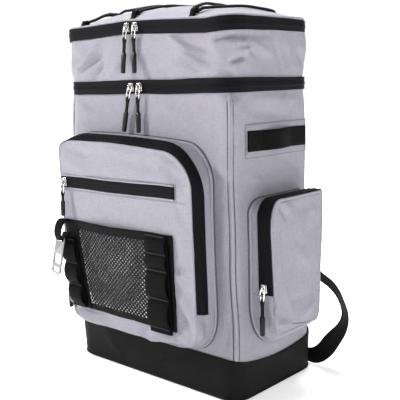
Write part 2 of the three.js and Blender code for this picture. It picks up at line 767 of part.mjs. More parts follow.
function netBow(x, z) {
  const across = clamp((x - NET.innerLeft) / (NET.innerRight - NET.innerLeft), 0, 1);
  const up = clamp((z - NET.bottom) / NET_HEIGHT, 0, 1);
  return NET_BOW * Math.sin(Math.PI * across) * up;
}

function makeNetPocket() {
  const innerTop = NET_TOP - NET_TOP_BINDING;
  const innerBottom = NET.bottom + NET_FOOT_BINDING;
  const steps = 6;
  const along = [0, 0.008];
  for (let k = 1; k < steps; k += 1) {
    along.push(k / steps);
  }
  along.push(0.992, 1);
  const run = [
    ...along.map((across) => ({ across, up: 0 })),
    { across: 1, up: 0.5 },
    ...along.map((across) => ({ across: 1 - across, up: 1 })),
    { across: 0, up: 0.5 },
  ];
  const rings = run.map(({ across, up }) => {
    const innerX = mix(NET.innerLeft, NET.innerRight, across);
    const outerX = across === 0 ? NET.left : across === 1 ? NET.right : innerX;
    const outerZ = mix(NET.bottom, NET_TOP, up);
    const innerZ = mix(innerBottom, innerTop, up);
    return [
      onPocketFace(outerX, outerZ, FIT + netBow(outerX, outerZ)),
      onPocketFace(innerX, innerZ, FIT + netBow(innerX, innerZ)),
      onPocketFace(innerX, innerZ, FIT + NET_RIM + netBow(innerX, innerZ)),
      onPocketFace(outerX, outerZ, FIT + NET_RIM + netBow(outerX, outerZ)),
    ];
  });
  addPiece('mesh_binding', bodyThroughRings(rings, true), BLACK_CLOTH);

  // The net, cut in one upright strip for each column of diamonds, so that it bows evenly
  const left = NET.innerLeft + FIT;
  const right = NET.innerRight - FIT;
  const low = innerBottom + FIT;
  const high = innerTop - FIT;
  const pitchX = (right - left) / NET_COLUMNS;
  const pitchZ = (high - low) / ((NET_ROWS + 1) / 2);
  const wide = pitchX / 2 - NET_STRAND * 0.62;
  const tall = pitchZ / 2 - NET_STRAND * 0.55;
  const flat = [];
  const places = new Map();
  const placeOf = (p) => {
    const key = `${p.x.toFixed(3)} ${p.y.toFixed(3)}`;
    if (!places.has(key)) {
      places.set(key, flat.push(p) - 1);
    }
    return places.get(key);
  };
  const front = [];
  for (let column = 0; column < NET_COLUMNS; column += 1) {
    const x0 = left + pitchX * column;
    const x1 = x0 + pitchX;
    const rightEdge = [];
    const leftEdge = [];
    const gaps = [];
    for (let row = 0; row < NET_ROWS; row += 1) {
      const z = low + (pitchZ / 2) * (row + 1);
      if (row % 2 === 0) {
        const x = (x0 + x1) / 2;
        gaps.push([[x - wide, z], [x, z + tall], [x + wide, z], [x, z - tall]]);
      } else {
        rightEdge.push([x1, z - tall], [x1 - wide, z], [x1, z + tall]);
        leftEdge.unshift([x0, z + tall], [x0 + wide, z], [x0, z - tall]);
      }
    }
    const outline = [[x0, low], [x1, low]];
    outline.push(...(column < NET_COLUMNS - 1 ? rightEdge : []), [x1, high], [x0, high]);
    outline.push(...(column > 0 ? leftEdge : []));
    const [contour, ...holes] = [outline, ...gaps].map((loop) => loop.map(([x, z]) => new THREE.Vector2(x, z)));
    const all = [...contour, ...holes.flat()].map(placeOf);
    THREE.ShapeUtils.triangulateShape(contour, holes).forEach((face) => front.push(face.map((i) => all[i])));
  }
  const count = flat.length;
  const points = [0, NET_THICK].flatMap((thick) => flat.map((p) =>
    onPocketFace(p.x, p.y, FIT + 0.6 + thick + netBow(p.x, p.y))));
  const edges = new Set(front.flatMap(([a, b, c]) => [`${a} ${b}`, `${b} ${c}`, `${c} ${a}`]));
  const faces = [];
  front.forEach(([a, b, c]) => {
    faces.push([a + count, b + count, c + count], [a, c, b]);
    [[a, b], [b, c], [c, a]].forEach(([from, to]) => {
      if (!edges.has(`${to} ${from}`)) {
        faces.push([from, to, to + count], [from, to + count, from + count]);
      }
    });
  });
  addPiece('mesh_panel', closedGeometry(points, faces), BLACK_NET);
}

// Chain strap: webbing sewn down at bar tacks, with loops that stand off between them
function makeChain(name, middle, top, bottom, loops, lift) {
  const height = top - bottom;
  const at = (share) => top - height * share;
  const shape = new THREE.Shape();
  const point = (z, off) => {
    const p = onPocketFace(middle, z, lift + off);
    return new THREE.Vector2(-p.y, p.z);
  };
  const front = [point(top, 2 * WEBBING_THICK)];
  const arcSteps = 5;
  const holes = [];
  loops.forEach(({ from, to, bulge }) => {
    const hole = [];
    for (let k = 0; k <= arcSteps; k += 1) {
      const t = k / arcSteps;
      const rise = bulge * Math.sin(Math.PI * t) ** 0.7;
      const z = at(mix(from, to, t));
      front.push(point(z, 2 * WEBBING_THICK + rise));
      const innerT = mix(0.1, 0.9, t);
      hole.push(point(at(mix(from, to, innerT)), WEBBING_THICK + (k === 0 || k === arcSteps ? 0.2 : rise)));
    }
    hole.push(point(at(mix(from, to, 0.5)), WEBBING_THICK - 0.4));
    holes.push(hole);
  });
  front.push(point(bottom, 2 * WEBBING_THICK));
  shape.setFromPoints([point(bottom, 0), ...front.reverse(), point(top, 0)]);
  holes.forEach((hole) => shape.holes.push(new THREE.Path().setFromPoints(hole)));
  const geometry = new THREE.ExtrudeGeometry(shape, { depth: CHAIN_WIDTH, bevelEnabled: false, steps: 1 });
  const turn = new THREE.Matrix4().makeBasis(FRONT, UP, RIGHT.clone().negate());
  geometry.applyMatrix4(turn);
  geometry.translate(middle + CHAIN_WIDTH / 2, 0, 0);
  addPiece(name, geometry, BLACK_CLOTH);
}

// Steel bottle opener hanging in the top loop of the left chain strap
const LOOP_LOW = { off: 29, z: 199 };

function makeOpener() {
  const middle = FRONT_POCKET.left + 17;
  const chainLift = FIT + NET_RIM + FIT;
  const route = [
    { off: 0.4, z: NET_TOP - 1, share: 2.2 },
    { off: 10, z: NET_TOP - 2, share: 2 },
    { off: 20, z: NET_TOP - 7, share: 1.5 },
    { off: 26.5, z: NET_TOP - 14, share: 1.1 },
    { off: LOOP_LOW.off, z: LOOP_LOW.z + 4, share: 1 },
    { off: LOOP_LOW.off - 2.5, z: LOOP_LOW.z, share: 1 },
    { off: 20, z: LOOP_LOW.z - 2, share: 1.1 },
    { off: 10, z: LOOP_LOW.z - 4, share: 1.6 },
    { off: 0.4, z: LOOP_LOW.z - 8, share: 2.2 },
  ];
  const points = route.map((row) => onPocketFace(middle, row.z, chainLift + row.off));
  const stations = route.map((row, i) => {
    const before = points[Math.max(i - 1, 0)];
    const after = points[Math.min(i + 1, points.length - 1)];
    const run = after.clone().sub(before).normalize();
    const out = new THREE.Vector3().crossVectors(run, RIGHT).normalize();
    return { point: points[i], across: RIGHT, out, share: row.share };
  });
  addPiece('opener_loop', strip(stations, LOOP_WIDTH, WEBBING_THICK), BLACK_CLOTH);

  const half = OPENER_WIDTH / 2;
  const rounded = (target, left, right, low, high, radius) => {
    target.moveTo(left + radius, low);
    target.lineTo(right - radius, low);
    target.lineTo(right, low + radius);
    target.lineTo(right, high - radius);
    target.lineTo(right - radius, high);
    target.lineTo(left + radius, high);
    target.lineTo(left, high - radius);
    target.lineTo(left, low + radius);
    return target;
  };
  const bar = 2.6;
  const slotHigh = 6;
  const rail = 2.6;
  const plate = rounded(new THREE.Shape(), -half, half, -OPENER_LENGTH, 0, 3);
  plate.holes.push(rounded(new THREE.Path(), -half + 2, half - 2, -bar - slotHigh, -bar, 1));
  plate.holes.push(rounded(new THREE.Path(), -half + rail, half - rail, -44, -29, 1.5));
  plate.holes.push(rounded(new THREE.Path(), -half + rail, half - rail, -OPENER_LENGTH + rail, -50, 1.5));
  const opener = new THREE.ExtrudeGeometry(plate, { depth: OPENER_THICK, bevelEnabled: false, steps: 1 });
  opener.translate(0, bar + slotHigh / 2, -OPENER_THICK / 2);
  opener.rotateX(Math.PI / 2);
  const mesh = addPiece('bottle_opener', opener, STEEL);
  const hang = onPocketFace(middle, LOOP_LOW.z - 2.9, chainLift + (LOOP_LOW.off - 2.5 + 20) / 2 + 1);
  mesh.position.copy(hang);
  mesh.rotation.set(THREE.MathUtils.degToRad(-6), THREE.MathUtils.degToRad(4), 0);
}

// Carry handle on a side: a cloth patch and webbing that bows away from it between its sewn ends
function makeSideHandle(hand) {
  const side = hand < 0 ? 'left' : 'right';
  const out = new THREE.Vector3(hand, 0, 0);
  const wallAt = (z) => bodyForm(z).side + FIT;
  const low = HANDLE_HEIGHT - PATCH_WIDTH / 2;
  const high = HANDLE_HEIGHT + PATCH_WIDTH / 2;
  const patch = [-PATCH_LENGTH / 2, PATCH_LENGTH / 2].map((y) => [
    new THREE.Vector3(hand * wallAt(low), y, low),
    new THREE.Vector3(hand * wallAt(high), y, high),
    new THREE.Vector3(hand * (wallAt(high) + 1.2), y, high),
    new THREE.Vector3(hand * (wallAt(low) + 1.2), y, low),
  ]);
  addPiece(`handle_patch_${side}`, bodyThroughRings(patch), GREY_CLOTH);
  const sewn = 28;
  const steps = 9;
  const seat = Math.max(wallAt(low), wallAt(high)) + 1.2 + FIT;
  const stations = [{ y: -HANDLE_LENGTH / 2, off: 0 }];
  for (let k = 0; k <= steps; k += 1) {
    const y = mix(-HANDLE_LENGTH / 2 + sewn, HANDLE_LENGTH / 2 - sewn, k / steps);
    stations.push({ y, off: HANDLE_BOW * Math.sin((Math.PI * k) / steps) ** 2 });
  }
  stations.push({ y: HANDLE_LENGTH / 2, off: 0 });
  const route = stations.map(({ y, off }) => ({
    point: new THREE.Vector3(hand * (seat + off), y, HANDLE_HEIGHT),
    across: UP,
    out,
  }));
  addPiece(`handle_webbing_${side}`, strip(route, HANDLE_WIDTH, WEBBING_THICK * 1.2), BLACK_CLOTH);
}

function makeSidePocket(hand) {
  const side = hand < 0 ? 'left' : 'right';
  const shape = sidePocketShape();
  const place = placeOnSide(hand);
  makePocketShell(`side_pocket_shell_${side}`, shape, place, SIDE_GUSSET, 1.5);
  makePocketPiping(`side_pocket_piping_${side}`, shape, place, 4);
  makePocketZip(`side_pocket_zip_${side}`, shape, place, SIDE_GUSSET, SIDE_ZIP_FOOT);
  const middle = mix(SIDE_GUSSET.back, SIDE_GUSSET.front, 0.5);
  const y = shape.left - 2 * FIT - TAPE_THICK;
  const point = place(y, SIDE_ZIP_FOOT + 8, middle);
  makeSlider(`side_pocket_slider_${side}`, point, DOWN, FRONT);
  const start = place(y - 1, SIDE_ZIP_FOOT + 8 - SLIDER_LENGTH / 2 - FIT, middle);
  makePull(`side_pocket_pull_${side}`, start, DOWN, FRONT, 26);
}

function makeFrontPocket() {
  makePocketShell('front_pocket_shell', FRONT_POCKET, placeOnFront, FRONT_GUSSET, POCKET_CROWN);
  makePocketPiping('front_pocket_piping', FRONT_POCKET, placeOnFront, 5);
  makePocketZip('front_pocket_zip', FRONT_POCKET, placeOnFront, FRONT_GUSSET, POCKET_ZIP_FOOT);
  const middle = mix(FRONT_GUSSET.back, FRONT_GUSSET.front, 0.5);
  const x = FRONT_POCKET.left - 2 * FIT - TAPE_THICK;
  const outward = new THREE.Vector3(-1, 0, 0);
  const point = placeOnFront(x, POCKET_ZIP_FOOT + 14, middle);
  makeSlider('front_pocket_slider', point, DOWN, outward);
  const start = placeOnFront(x - 1, POCKET_ZIP_FOOT + 14 - SLIDER_LENGTH / 2 - FIT, middle);
  makePull('front_pocket_pull', start, DOWN, outward, 22);
}

// Lid tab: a folded cloth tab with an eye that the bungee runs through
const EYE_RADIUS = BUNGEE_RADIUS + 0.5;
const EYE_WALL = 1.5;

function tabEye(tab) {
  const x = tab.x * (BODY_WIDTH / 2);
  const y = tab.y * (BODY_DEPTH / 2);
  return new THREE.Vector3(x, y, lidHeight(x, y) + EYE_RADIUS + EYE_WALL + FIT + 0.5);
}

function makeLidTab(tab) {
  const eye = tabEye(tab);
  const outline = [];
  const radius = EYE_RADIUS + EYE_WALL;
  for (let k = 0; k <= 6; k += 1) {
    const angle = THREE.MathUtils.degToRad(-90 + 30 * k + 15);
    outline.push(new THREE.Vector2(radius * Math.cos(angle), radius * Math.sin(angle)));
  }
  const tailY = eye.y + tab.tail * TAB_LENGTH * 0.55;
  const drop = lidHeight(eye.x, tailY) + FIT + 0.8 - eye.z;
  outline.push(new THREE.Vector2(-TAB_LENGTH * 0.55, drop + CLOTH));
  outline.push(new THREE.Vector2(-TAB_LENGTH * 0.55, drop));
  const shape = new THREE.Shape(outline);
  const hole = [];
  for (let k = 0; k < 6; k += 1) {
    const angle = (Math.PI / 3) * k;
    hole.push(new THREE.Vector2(EYE_RADIUS * 1.12 * Math.cos(angle), EYE_RADIUS * 1.12 * Math.sin(angle)));
  }
  shape.holes.push(new THREE.Path().setFromPoints(hole));
  const geometry = new THREE.ExtrudeGeometry(shape, { depth: TAB_WIDTH, bevelEnabled: false, steps: 1 });
  geometry.translate(0, 0, -TAB_WIDTH / 2);
  const inward = tab.tail < 0 ? BACK : FRONT;
  const turn = new THREE.Matrix4().makeBasis(inward, UP, new THREE.Vector3().crossVectors(inward, UP));
  geometry.applyMatrix4(turn);
  geometry.translate(eye.x, eye.y, eye.z);
  addPiece(tab.name, geometry, BLACK_CLOTH);
}

// Curve that steps from one of its points to the next, however far apart they are
class CordRoute extends THREE.CatmullRomCurve3 {
  getPointAt(u, target) {
    return this.getPoint(u, target);
  }

  getTangentAt(u, target) {
    return this.getTangent(u, target);
  }
}

// Bungee: one elastic cord laced from the left rear edge of the lid, through the tabs, to the right
function makeBungee() {
  const half = { x: BODY_WIDTH / 2, y: BODY_DEPTH / 2 };
  const over = (x, y) => new THREE.Vector3(x, y, lidHeight(x, y) + BUNGEE_RADIUS + FIT + 1);
  const stops = LID_TABS.map((tab) => ({ eye: tabEye(tab), inward: -tab.tail }));
  const route = [over(-half.x * 0.92, half.y * 0.62), over(-half.x * 0.88, half.y * 0.3), over(-half.x * 0.84, -half.y * 0.2)];
  stops.forEach(({ eye, inward }, i) => {
    const spread = TAB_WIDTH / 2 + 6;
    const turn = [
      { x: -spread, y: 10 },
      { x: -TAB_WIDTH / 2 - 4, y: 3.5 },
      { x: -TAB_WIDTH / 2 - 1.2, y: 0 },
      { x: TAB_WIDTH / 2 + 1.2, y: 0 },
      { x: TAB_WIDTH / 2 + 4, y: 3.5 },
      { x: spread, y: 10 },
    ];
    turn.forEach((step) => {
      const x = eye.x + step.x;
      const y = eye.y + inward * step.y;
      route.push(new THREE.Vector3(x, y, step.y < 5 ? eye.z : Math.max(eye.z, over(x, y).z)));
    });
    const next = stops[i + 1];
    if (next) {
      [0.3, 0.5, 0.7].forEach((t) => {
        route.push(over(mix(eye.x + spread, next.eye.x - spread, t), mix(eye.y, next.eye.y, t)));
      });
    }
  });
  route.push(over(half.x * 0.72, -half.y * 0.1), over(half.x * 0.8, half.y * 0.3), over(half.x * 0.86, half.y * 0.62));
  const path = new CordRoute(route, false, 'centripetal');
  const section = new THREE.Shape();
  for (let k = 0; k < 6; k += 1) {
    const angle = (Math.PI / 3) * k;
    const x = BUNGEE_RADIUS * Math.cos(angle);
    const y = BUNGEE_RADIUS * Math.sin(angle);
    if (k === 0) {
      section.moveTo(x, y);
    } else {
      section.lineTo(x, y);
    }
  }
  const cord = new THREE.ExtrudeGeometry(section, { extrudePath: path, steps: route.length - 1, bevelEnabled: false });
  addPiece('lid_bungee', cord, BLACK_CLOTH);
}

// Back panel: a padded panel on the back of the body
const PANEL_SHAPE = {
  left: -PANEL_WIDTH / 2,
  right: PANEL_WIDTH / 2,
  bottom: PANEL_BOTTOM,
  top: PANEL_TOP,
  lowRight: { across: 30, up: 30 },
  highRight: { across: 40, up: 40 },
  highLeft: { across: 40, up: 40 },
  lowLeft: { across: 30, up: 30 },
  steps: 2,
};

function panelPoint(x, z, lift) {
  return new THREE.Vector3(x, bodyForm(z).back + FIT + lift, z);
}

function makeBackPanel() {
  const ring = (inset, lift) => pocketOutline(PANEL_SHAPE, inset).map((p) => panelPoint(p.x, p.z, lift));
  const rings = [
    ring(0, 0),
    ring(0, PANEL_THICK * 0.35),
    ring(4, PANEL_THICK * 0.75),
    ring(16, PANEL_THICK),
  ];
  addPiece('back_panel', bodyThroughRings(rings), BLACK_CLOTH);
}

// Frame along a route of points: the direction of the run at each, and its neighbours' average
function runAt(points, i) {
  const before = points[Math.max(i - 1, 0)];
  const after = points[Math.min(i + 1, points.length - 1)];
  return after.clone().sub(before).normalize();
}

// Shoulder strap, buckle and lower webbing of one side
function makeShoulderStrap(hand) {
  const side = hand < 0 ? 'left' : 'right';
  const backFace = (z) => bodyForm(z).back + FIT + PANEL_THICK + FIT;
  const points = STRAP_ROUTE.map((row) => new THREE.Vector3(hand * row.x, backFace(row.z) + row.off - 6, row.z));
  const rings = points.map((point, i) => {
    const run = runAt(points, i);
    const out = new THREE.Vector3().crossVectors(RIGHT, run).normalize();
    if (out.y < 0) {
      out.negate();
    }
    const half = (STRAP_WIDTH * STRAP_ROUTE[i].width) / 2;
    const soft = Math.min(STRAP_THICK * 0.3, half);
    return [
      [-half, STRAP_THICK * 0.3], [-half + soft, 0], [half - soft, 0], [half, STRAP_THICK * 0.3],
      [half, STRAP_THICK * 0.7], [half - soft, STRAP_THICK], [-half + soft, STRAP_THICK], [-half, STRAP_THICK * 0.7],
    ].map(([w, t]) => point.clone().addScaledVector(RIGHT, w).addScaledVector(out, t));
  });
  addPiece(`shoulder_strap_${side}`, bodyThroughRings(rings), BLACK_CLOTH);

  const end = STRAP_ROUTE[STRAP_ROUTE.length - 1];
  const frame = new THREE.Shape();
  const wide = BUCKLE_WIDTH / 2;
  frame.moveTo(-wide, 0);
  frame.lineTo(wide, 0);
  frame.lineTo(wide, BUCKLE_HEIGHT);
  frame.lineTo(-wide, BUCKLE_HEIGHT);
  [[0.16, 0.4], [0.6, 0.84]].forEach(([from, to]) => {
    const slot = new THREE.Path();
    slot.moveTo(-wide + 4, BUCKLE_HEIGHT * from);
    slot.lineTo(wide - 4, BUCKLE_HEIGHT * from);
    slot.lineTo(wide - 4, BUCKLE_HEIGHT * to);
    slot.lineTo(-wide + 4, BUCKLE_HEIGHT * to);
    frame.holes.push(slot);
  });
  const buckle = new THREE.ExtrudeGeometry(frame, { depth: BUCKLE_THICK, bevelEnabled: false, steps: 1 });
  buckle.rotateX(Math.PI / 2);
  const mesh = addPiece(`ladder_lock_${side}`, buckle, BLACK_PLASTIC);
  mesh.position.set(hand * (end.x + 1), backFace(end.z) + end.off - 6 + BUCKLE_THICK + 3, end.z - BUCKLE_HEIGHT - 2);

  const lower = LOWER_ROUTE.map((row) => new THREE.Vector3(hand * row.x, backFace(row.z) + row.off, row.z));
  const stations = lower.map((point, i) => {
    const run = runAt(lower, i);
    const flat = new THREE.Vector3().crossVectors(run, BACK).normalize().multiplyScalar(hand);
    const angle = THREE.MathUtils.degToRad(LOWER_ROUTE[i].turn);
    const across = BACK.clone().multiplyScalar(Math.cos(angle)).addScaledVector(flat, Math.sin(angle)).normalize();
    const out = new THREE.Vector3().crossVectors(run, across).normalize();
    const share = LOWER_ROUTE[i].width;
    return { point: point.clone().addScaledVector(out, -WEBBING_THICK / 2), across, out, share };
  });
  addPiece(`lower_webbing_${side}`, strip(stations, LOWER_WEBBING_WIDTH, WEBBING_THICK), BLACK_CLOTH);
}

// Cord lock on the two cords that leave the left front tab
function makeCordLock() {
  const x = -BODY_WIDTH * 0.335;
  const y = -BODY_DEPTH * 0.2;
  const z = lidHeight(x, y) + FIT + 2 * BUNGEE_RADIUS + 1;
  const rings = [-0.5, -0.38, 0.38, 0.5].map((at, i) => {
    const share = i === 0 || i === 3 ? 0.7 : 1;
    const ring = [];
    for (let k = 0; k < 8; k += 1) {
      const angle = (Math.PI / 4) * k;
      ring.push(new THREE.Vector3(
        x + (LOCK_WIDTH / 2) * share * Math.cos(angle),
        y + LOCK_LENGTH * at,
        z + 3.5 + 3 * share * Math.sin(angle),
      ));
    }
    return ring;
  });
  addPiece('cord_lock', bodyThroughRings(rings), BLACK_PLASTIC);
}

makeBody();
makeBoot();
makeUpper();
makeLid();
makeCornerWelt('corner_welt_right', 1);
makeCornerWelt('corner_welt_left', -1);
makeBodyZip('main_zip_band', bodyForm(BODY_HEIGHT), ZIP_SEAM, false);
makeBodyZip('top_zip_band', upperForm(1), TOP_SEAM, true);
makeBodySliders('main', bodyForm(BODY_HEIGHT).front, ZIP_SEAM, -6);
makeBodySliders('top', upperForm(1).front, TOP_SEAM + ZIP_WAVE, -10);
makeFrontPocket();
makeSlotZip();
makeNetPocket();
makeChain('daisy_chain_right', NET.innerRight + CHAIN_WIDTH / 2, NET_TOP - 1, NET.bottom - 4, CHAIN_RIGHT_LOOPS, FIT + NET_RIM + FIT);
makeChain('daisy_chain_left', NET.innerLeft - CHAIN_WIDTH / 2, NET_TOP - 34, NET.bottom + 2, CHAIN_LEFT_LOOPS, FIT + NET_RIM + FIT);
makeOpener();
[1, -1].forEach((hand) => {
  makeSidePocket(hand);
  makeSideHandle(hand);
});
LID_TABS.forEach(makeLidTab);
makeBungee();
makeCordLock();
makeBackPanel();
[1, -1].forEach(makeShoulderStrap);

// Stand the bag on the origin
const bounds = new THREE.Box3().setFromObject(bag);
const middle = bounds.getCenter(new THREE.Vector3());
bag.position.set(-middle.x, -middle.y, -bounds.min.z);
bag.updateMatrixWorld(true);

export default bag;
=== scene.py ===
"""A cooler backpack dressed in cloth, tape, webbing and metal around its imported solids."""
import math
import bmesh
import bpy
import numpy as np
from mathutils import Matrix, Vector, noise


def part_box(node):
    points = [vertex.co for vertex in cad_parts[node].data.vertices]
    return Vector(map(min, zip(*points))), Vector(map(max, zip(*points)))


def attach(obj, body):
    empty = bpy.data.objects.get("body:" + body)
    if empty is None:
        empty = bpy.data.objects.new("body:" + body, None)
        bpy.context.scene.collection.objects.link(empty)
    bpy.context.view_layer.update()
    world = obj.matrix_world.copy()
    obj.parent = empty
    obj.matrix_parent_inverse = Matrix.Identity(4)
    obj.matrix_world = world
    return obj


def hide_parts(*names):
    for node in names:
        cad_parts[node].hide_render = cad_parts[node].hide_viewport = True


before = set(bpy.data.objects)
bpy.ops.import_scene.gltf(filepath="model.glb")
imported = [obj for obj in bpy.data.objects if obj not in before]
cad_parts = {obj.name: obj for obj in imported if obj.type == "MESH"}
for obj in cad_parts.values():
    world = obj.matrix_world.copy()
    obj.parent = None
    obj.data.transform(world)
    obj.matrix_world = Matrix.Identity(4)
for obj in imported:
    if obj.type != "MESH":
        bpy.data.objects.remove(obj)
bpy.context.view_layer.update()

# Camera
# It stands front right of the bag at chest height, as for the photograph. Lengths below are in mm
# from the middle of the bag's body, and middle_y moves them into the frame of the solids.
middle_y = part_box("body_shell")[0].y * 1000 + 93.63
camera_data = bpy.data.cameras.new("camera")
camera_data.sensor_width = 36
camera_data.lens = 66.7
camera = bpy.data.objects.new("camera", camera_data)
bpy.context.scene.collection.objects.link(camera)
camera.matrix_world = Matrix((
    (0.743, -0.0879, 0.6635, 0.7312),
    (0.6688, 0.1345, -0.7312, (middle_y - 780.1) / 1000),
    (-0.025, 0.987, 0.1587, 0.4138),
    (0, 0, 0, 1),
))
bpy.context.scene.camera = camera

# Floor and light
# A plain pale floor that runs into a pale surround, with one large soft light at the front left, a
# weaker one at the right and one above.
floor_mesh = bpy.data.meshes.new("floor")
floor_mesh.from_pydata([(-9, -9, 0), (9, -9, 0), (9, 9, 0), (-9, 9, 0)], [], [(0, 1, 2, 3)])
floor = bpy.data.objects.new("floor", floor_mesh)
bpy.context.scene.collection.objects.link(floor)
pale = bpy.data.materials.new("pale_floor")
pale.use_nodes = True
pale_paint = pale.node_tree.nodes["Principled BSDF"]
pale_paint.inputs["Base Color"].default_value = (0.88, 0.88, 0.88, 1)
pale_paint.inputs["Roughness"].default_value = 0.9
pale_paint.inputs["Emission Color"].default_value = (1, 1, 1, 1)
far_off = pale.node_tree.nodes.new("ShaderNodeVectorMath")
far_off.operation = "LENGTH"
glow = pale.node_tree.nodes.new("ShaderNodeMapRange")
glow.inputs["From Min"].default_value = 0.12
glow.inputs["From Max"].default_value = 1.6
glow.inputs["To Min"].default_value = 0.5
glow.inputs["To Max"].default_value = 1.2
pale.node_tree.links.new(pale.node_tree.nodes.new("ShaderNodeTexCoord").outputs["Object"], far_off.inputs[0])
pale.node_tree.links.new(far_off.outputs["Value"], glow.inputs["Value"])
pale.node_tree.links.new(glow.outputs["Result"], pale_paint.inputs["Emission Strength"])
floor_mesh.materials.append(pale)

world = bpy.data.worlds.new("studio")
bpy.context.scene.world = world
world.use_nodes = True
sky = world.node_tree
sky_height = sky.nodes.new("ShaderNodeSeparateXYZ")
sky_ramp = sky.nodes.new("ShaderNodeValToRGB")
sky.links.new(sky.nodes.new("ShaderNodeTexCoord").outputs["Generated"], sky_height.inputs[0])
sky.links.new(sky_height.outputs["Z"], sky_ramp.inputs["Fac"])
sky.links.new(sky_ramp.outputs["Color"], sky.nodes["Background"].inputs["Color"])
sky_ramp.color_ramp.elements[0].position = 0.1
sky_ramp.color_ramp.elements[0].color = (1, 1, 1, 1)
sky_ramp.color_ramp.elements[1].position = 0.3
sky_ramp.color_ramp.elements[1].color = (0.3, 0.3, 0.31, 1)
sky.nodes["Background"].inputs["Strength"].default_value = 1.02
bpy.context.scene.view_settings.view_transform = "Standard"

for light_name, place, size, power in (
    ("key_light", (-2.1, -1.7, 1.7), 0.32, 97),
    ("side_light", (2.3, -1.3, 0.7), 0.6, 22),
    ("top_light", (-0.3, 0.6, 2.2), 0.9, 80),
):
    light_data = bpy.data.lights.new(light_name, "AREA")
    light_data.energy = power
    light_data.size = size
    light = bpy.data.objects.new(light_name, light_data)
    bpy.context.scene.collection.objects.link(light)
    light.location = place
    aim = Vector((0, 0, 0.25)) - light.location
    light.rotation_euler = aim.to_track_quat("-Z", "Y").to_euler()


# Body
# The padded tub of the main compartment: woven polyester over foam, sewn round with a seam up each
# corner. It is open at the top, under the zip.
def node(tree, kind, settings=None, **sockets):
    """Shader node with its settings, and its sockets given as values or as other nodes' outputs"""
    made = tree.nodes.new("ShaderNode" + kind)
    for key, value in (settings or {}).items():
        setattr(made, key, value)
    for key, value in sockets.items():
        socket = made.inputs[int(key[1:]) if key[1:].isdigit() else key]
        if isinstance(value, bpy.types.NodeSocket):
            tree.links.new(value, socket)
        else:
            socket.default_value = value
    return made


def finish_named(name, roughness, metallic=0.0, specular=0.5, colour=None):
    """Material with its own tree and shader, and with a plain colour if one is given"""
    material = bpy.data.materials.new(name)
    material.use_nodes = True
    tree = material.node_tree
    shader = tree.nodes["Principled BSDF"]
    shader.inputs["Roughness"].default_value = roughness
    shader.inputs["Metallic"].default_value = metallic
    shader.inputs["Specular IOR Level"].default_value = specular
    if colour:
        shader.inputs["Base Color"].default_value = (*colour, 1)
    return material, tree, shader


def woven(name, dark, light, roughness, slub=(45, 760), thread=1250, relief=0.25, sheen=0.0, specular=0.3,
          crease=0.0):
    """Plain weave: long thin slubs both ways in the colour, crossed threads and soft creases in the relief"""
    material, tree, shader = finish_named(name, roughness, specular=specular)
    shader.inputs["Sheen Weight"].default_value = sheen
    uv = node(tree, "TexCoord").outputs["UV"]
    long_threads = []
    for scale in ((slub[0], slub[1], 1), (slub[1], slub[0], 1)):
        stretched = node(tree, "Mapping", Vector=uv, Scale=scale).outputs["Vector"]
        cloud = node(tree, "TexNoise", Vector=stretched, Scale=1.0, Detail=3.0, Roughness=0.6)
        long_threads.append(cloud.outputs["Fac"])
    both = node(tree, "Math", {"operation": "ADD"}, _0=long_threads[0], _1=long_threads[1])
    patch = node(tree, "TexNoise", Vector=uv, Scale=16.0, Detail=2.0).outputs["Fac"]
    shade = node(tree, "Math", {"operation": "MULTIPLY_ADD"}, _0=patch, _1=0.3, _2=both.outputs[0])
    ramp = node(tree, "ValToRGB", Fac=node(
        tree, "MapRange", _0=shade.outputs[0], _1=0.85, _2=1.45).outputs[0])
    ramp.color_ramp.elements[0].color = (*dark, 1)
    ramp.color_ramp.elements[1].color = (*light, 1)
    tree.links.new(ramp.outputs["Color"], shader.inputs["Base Color"])
    waves = []
    for direction in ("X", "Y"):
        wave = node(tree, "TexWave", {"bands_direction": direction}, Vector=uv, Scale=thread / 4,
                    Distortion=0.6, Detail=1.0)
        waves.append(wave.outputs["Fac"])
    crossed = node(tree, "Math", {"operation": "ADD"}, _0=waves[0], _1=waves[1]).outputs[0]
    height = node(tree, "Math", {"operation": "MULTIPLY_ADD"}, _0=both.outputs[0], _1=1.2, _2=crossed)
    if crease:
        soft = node(tree, "TexNoise", Vector=uv, Scale=21.0, Detail=2.5, Distortion=1.4).outputs["Fac"]
        height = node(tree, "Math", {"operation": "MULTIPLY_ADD"}, _0=soft, _1=crease, _2=height.outputs[0])
    bump = node(tree, "Bump", Height=height.outputs[0], Strength=relief, Distance=0.0004)
    tree.links.new(bump.outputs["Normal"], shader.inputs["Normal"])
    return material


grey_cloth = woven("grey_woven_cloth", (0.225, 0.218, 0.25), (0.295, 0.286, 0.325), 0.85, slub=(80, 780),
                   relief=0.4, crease=22.0)


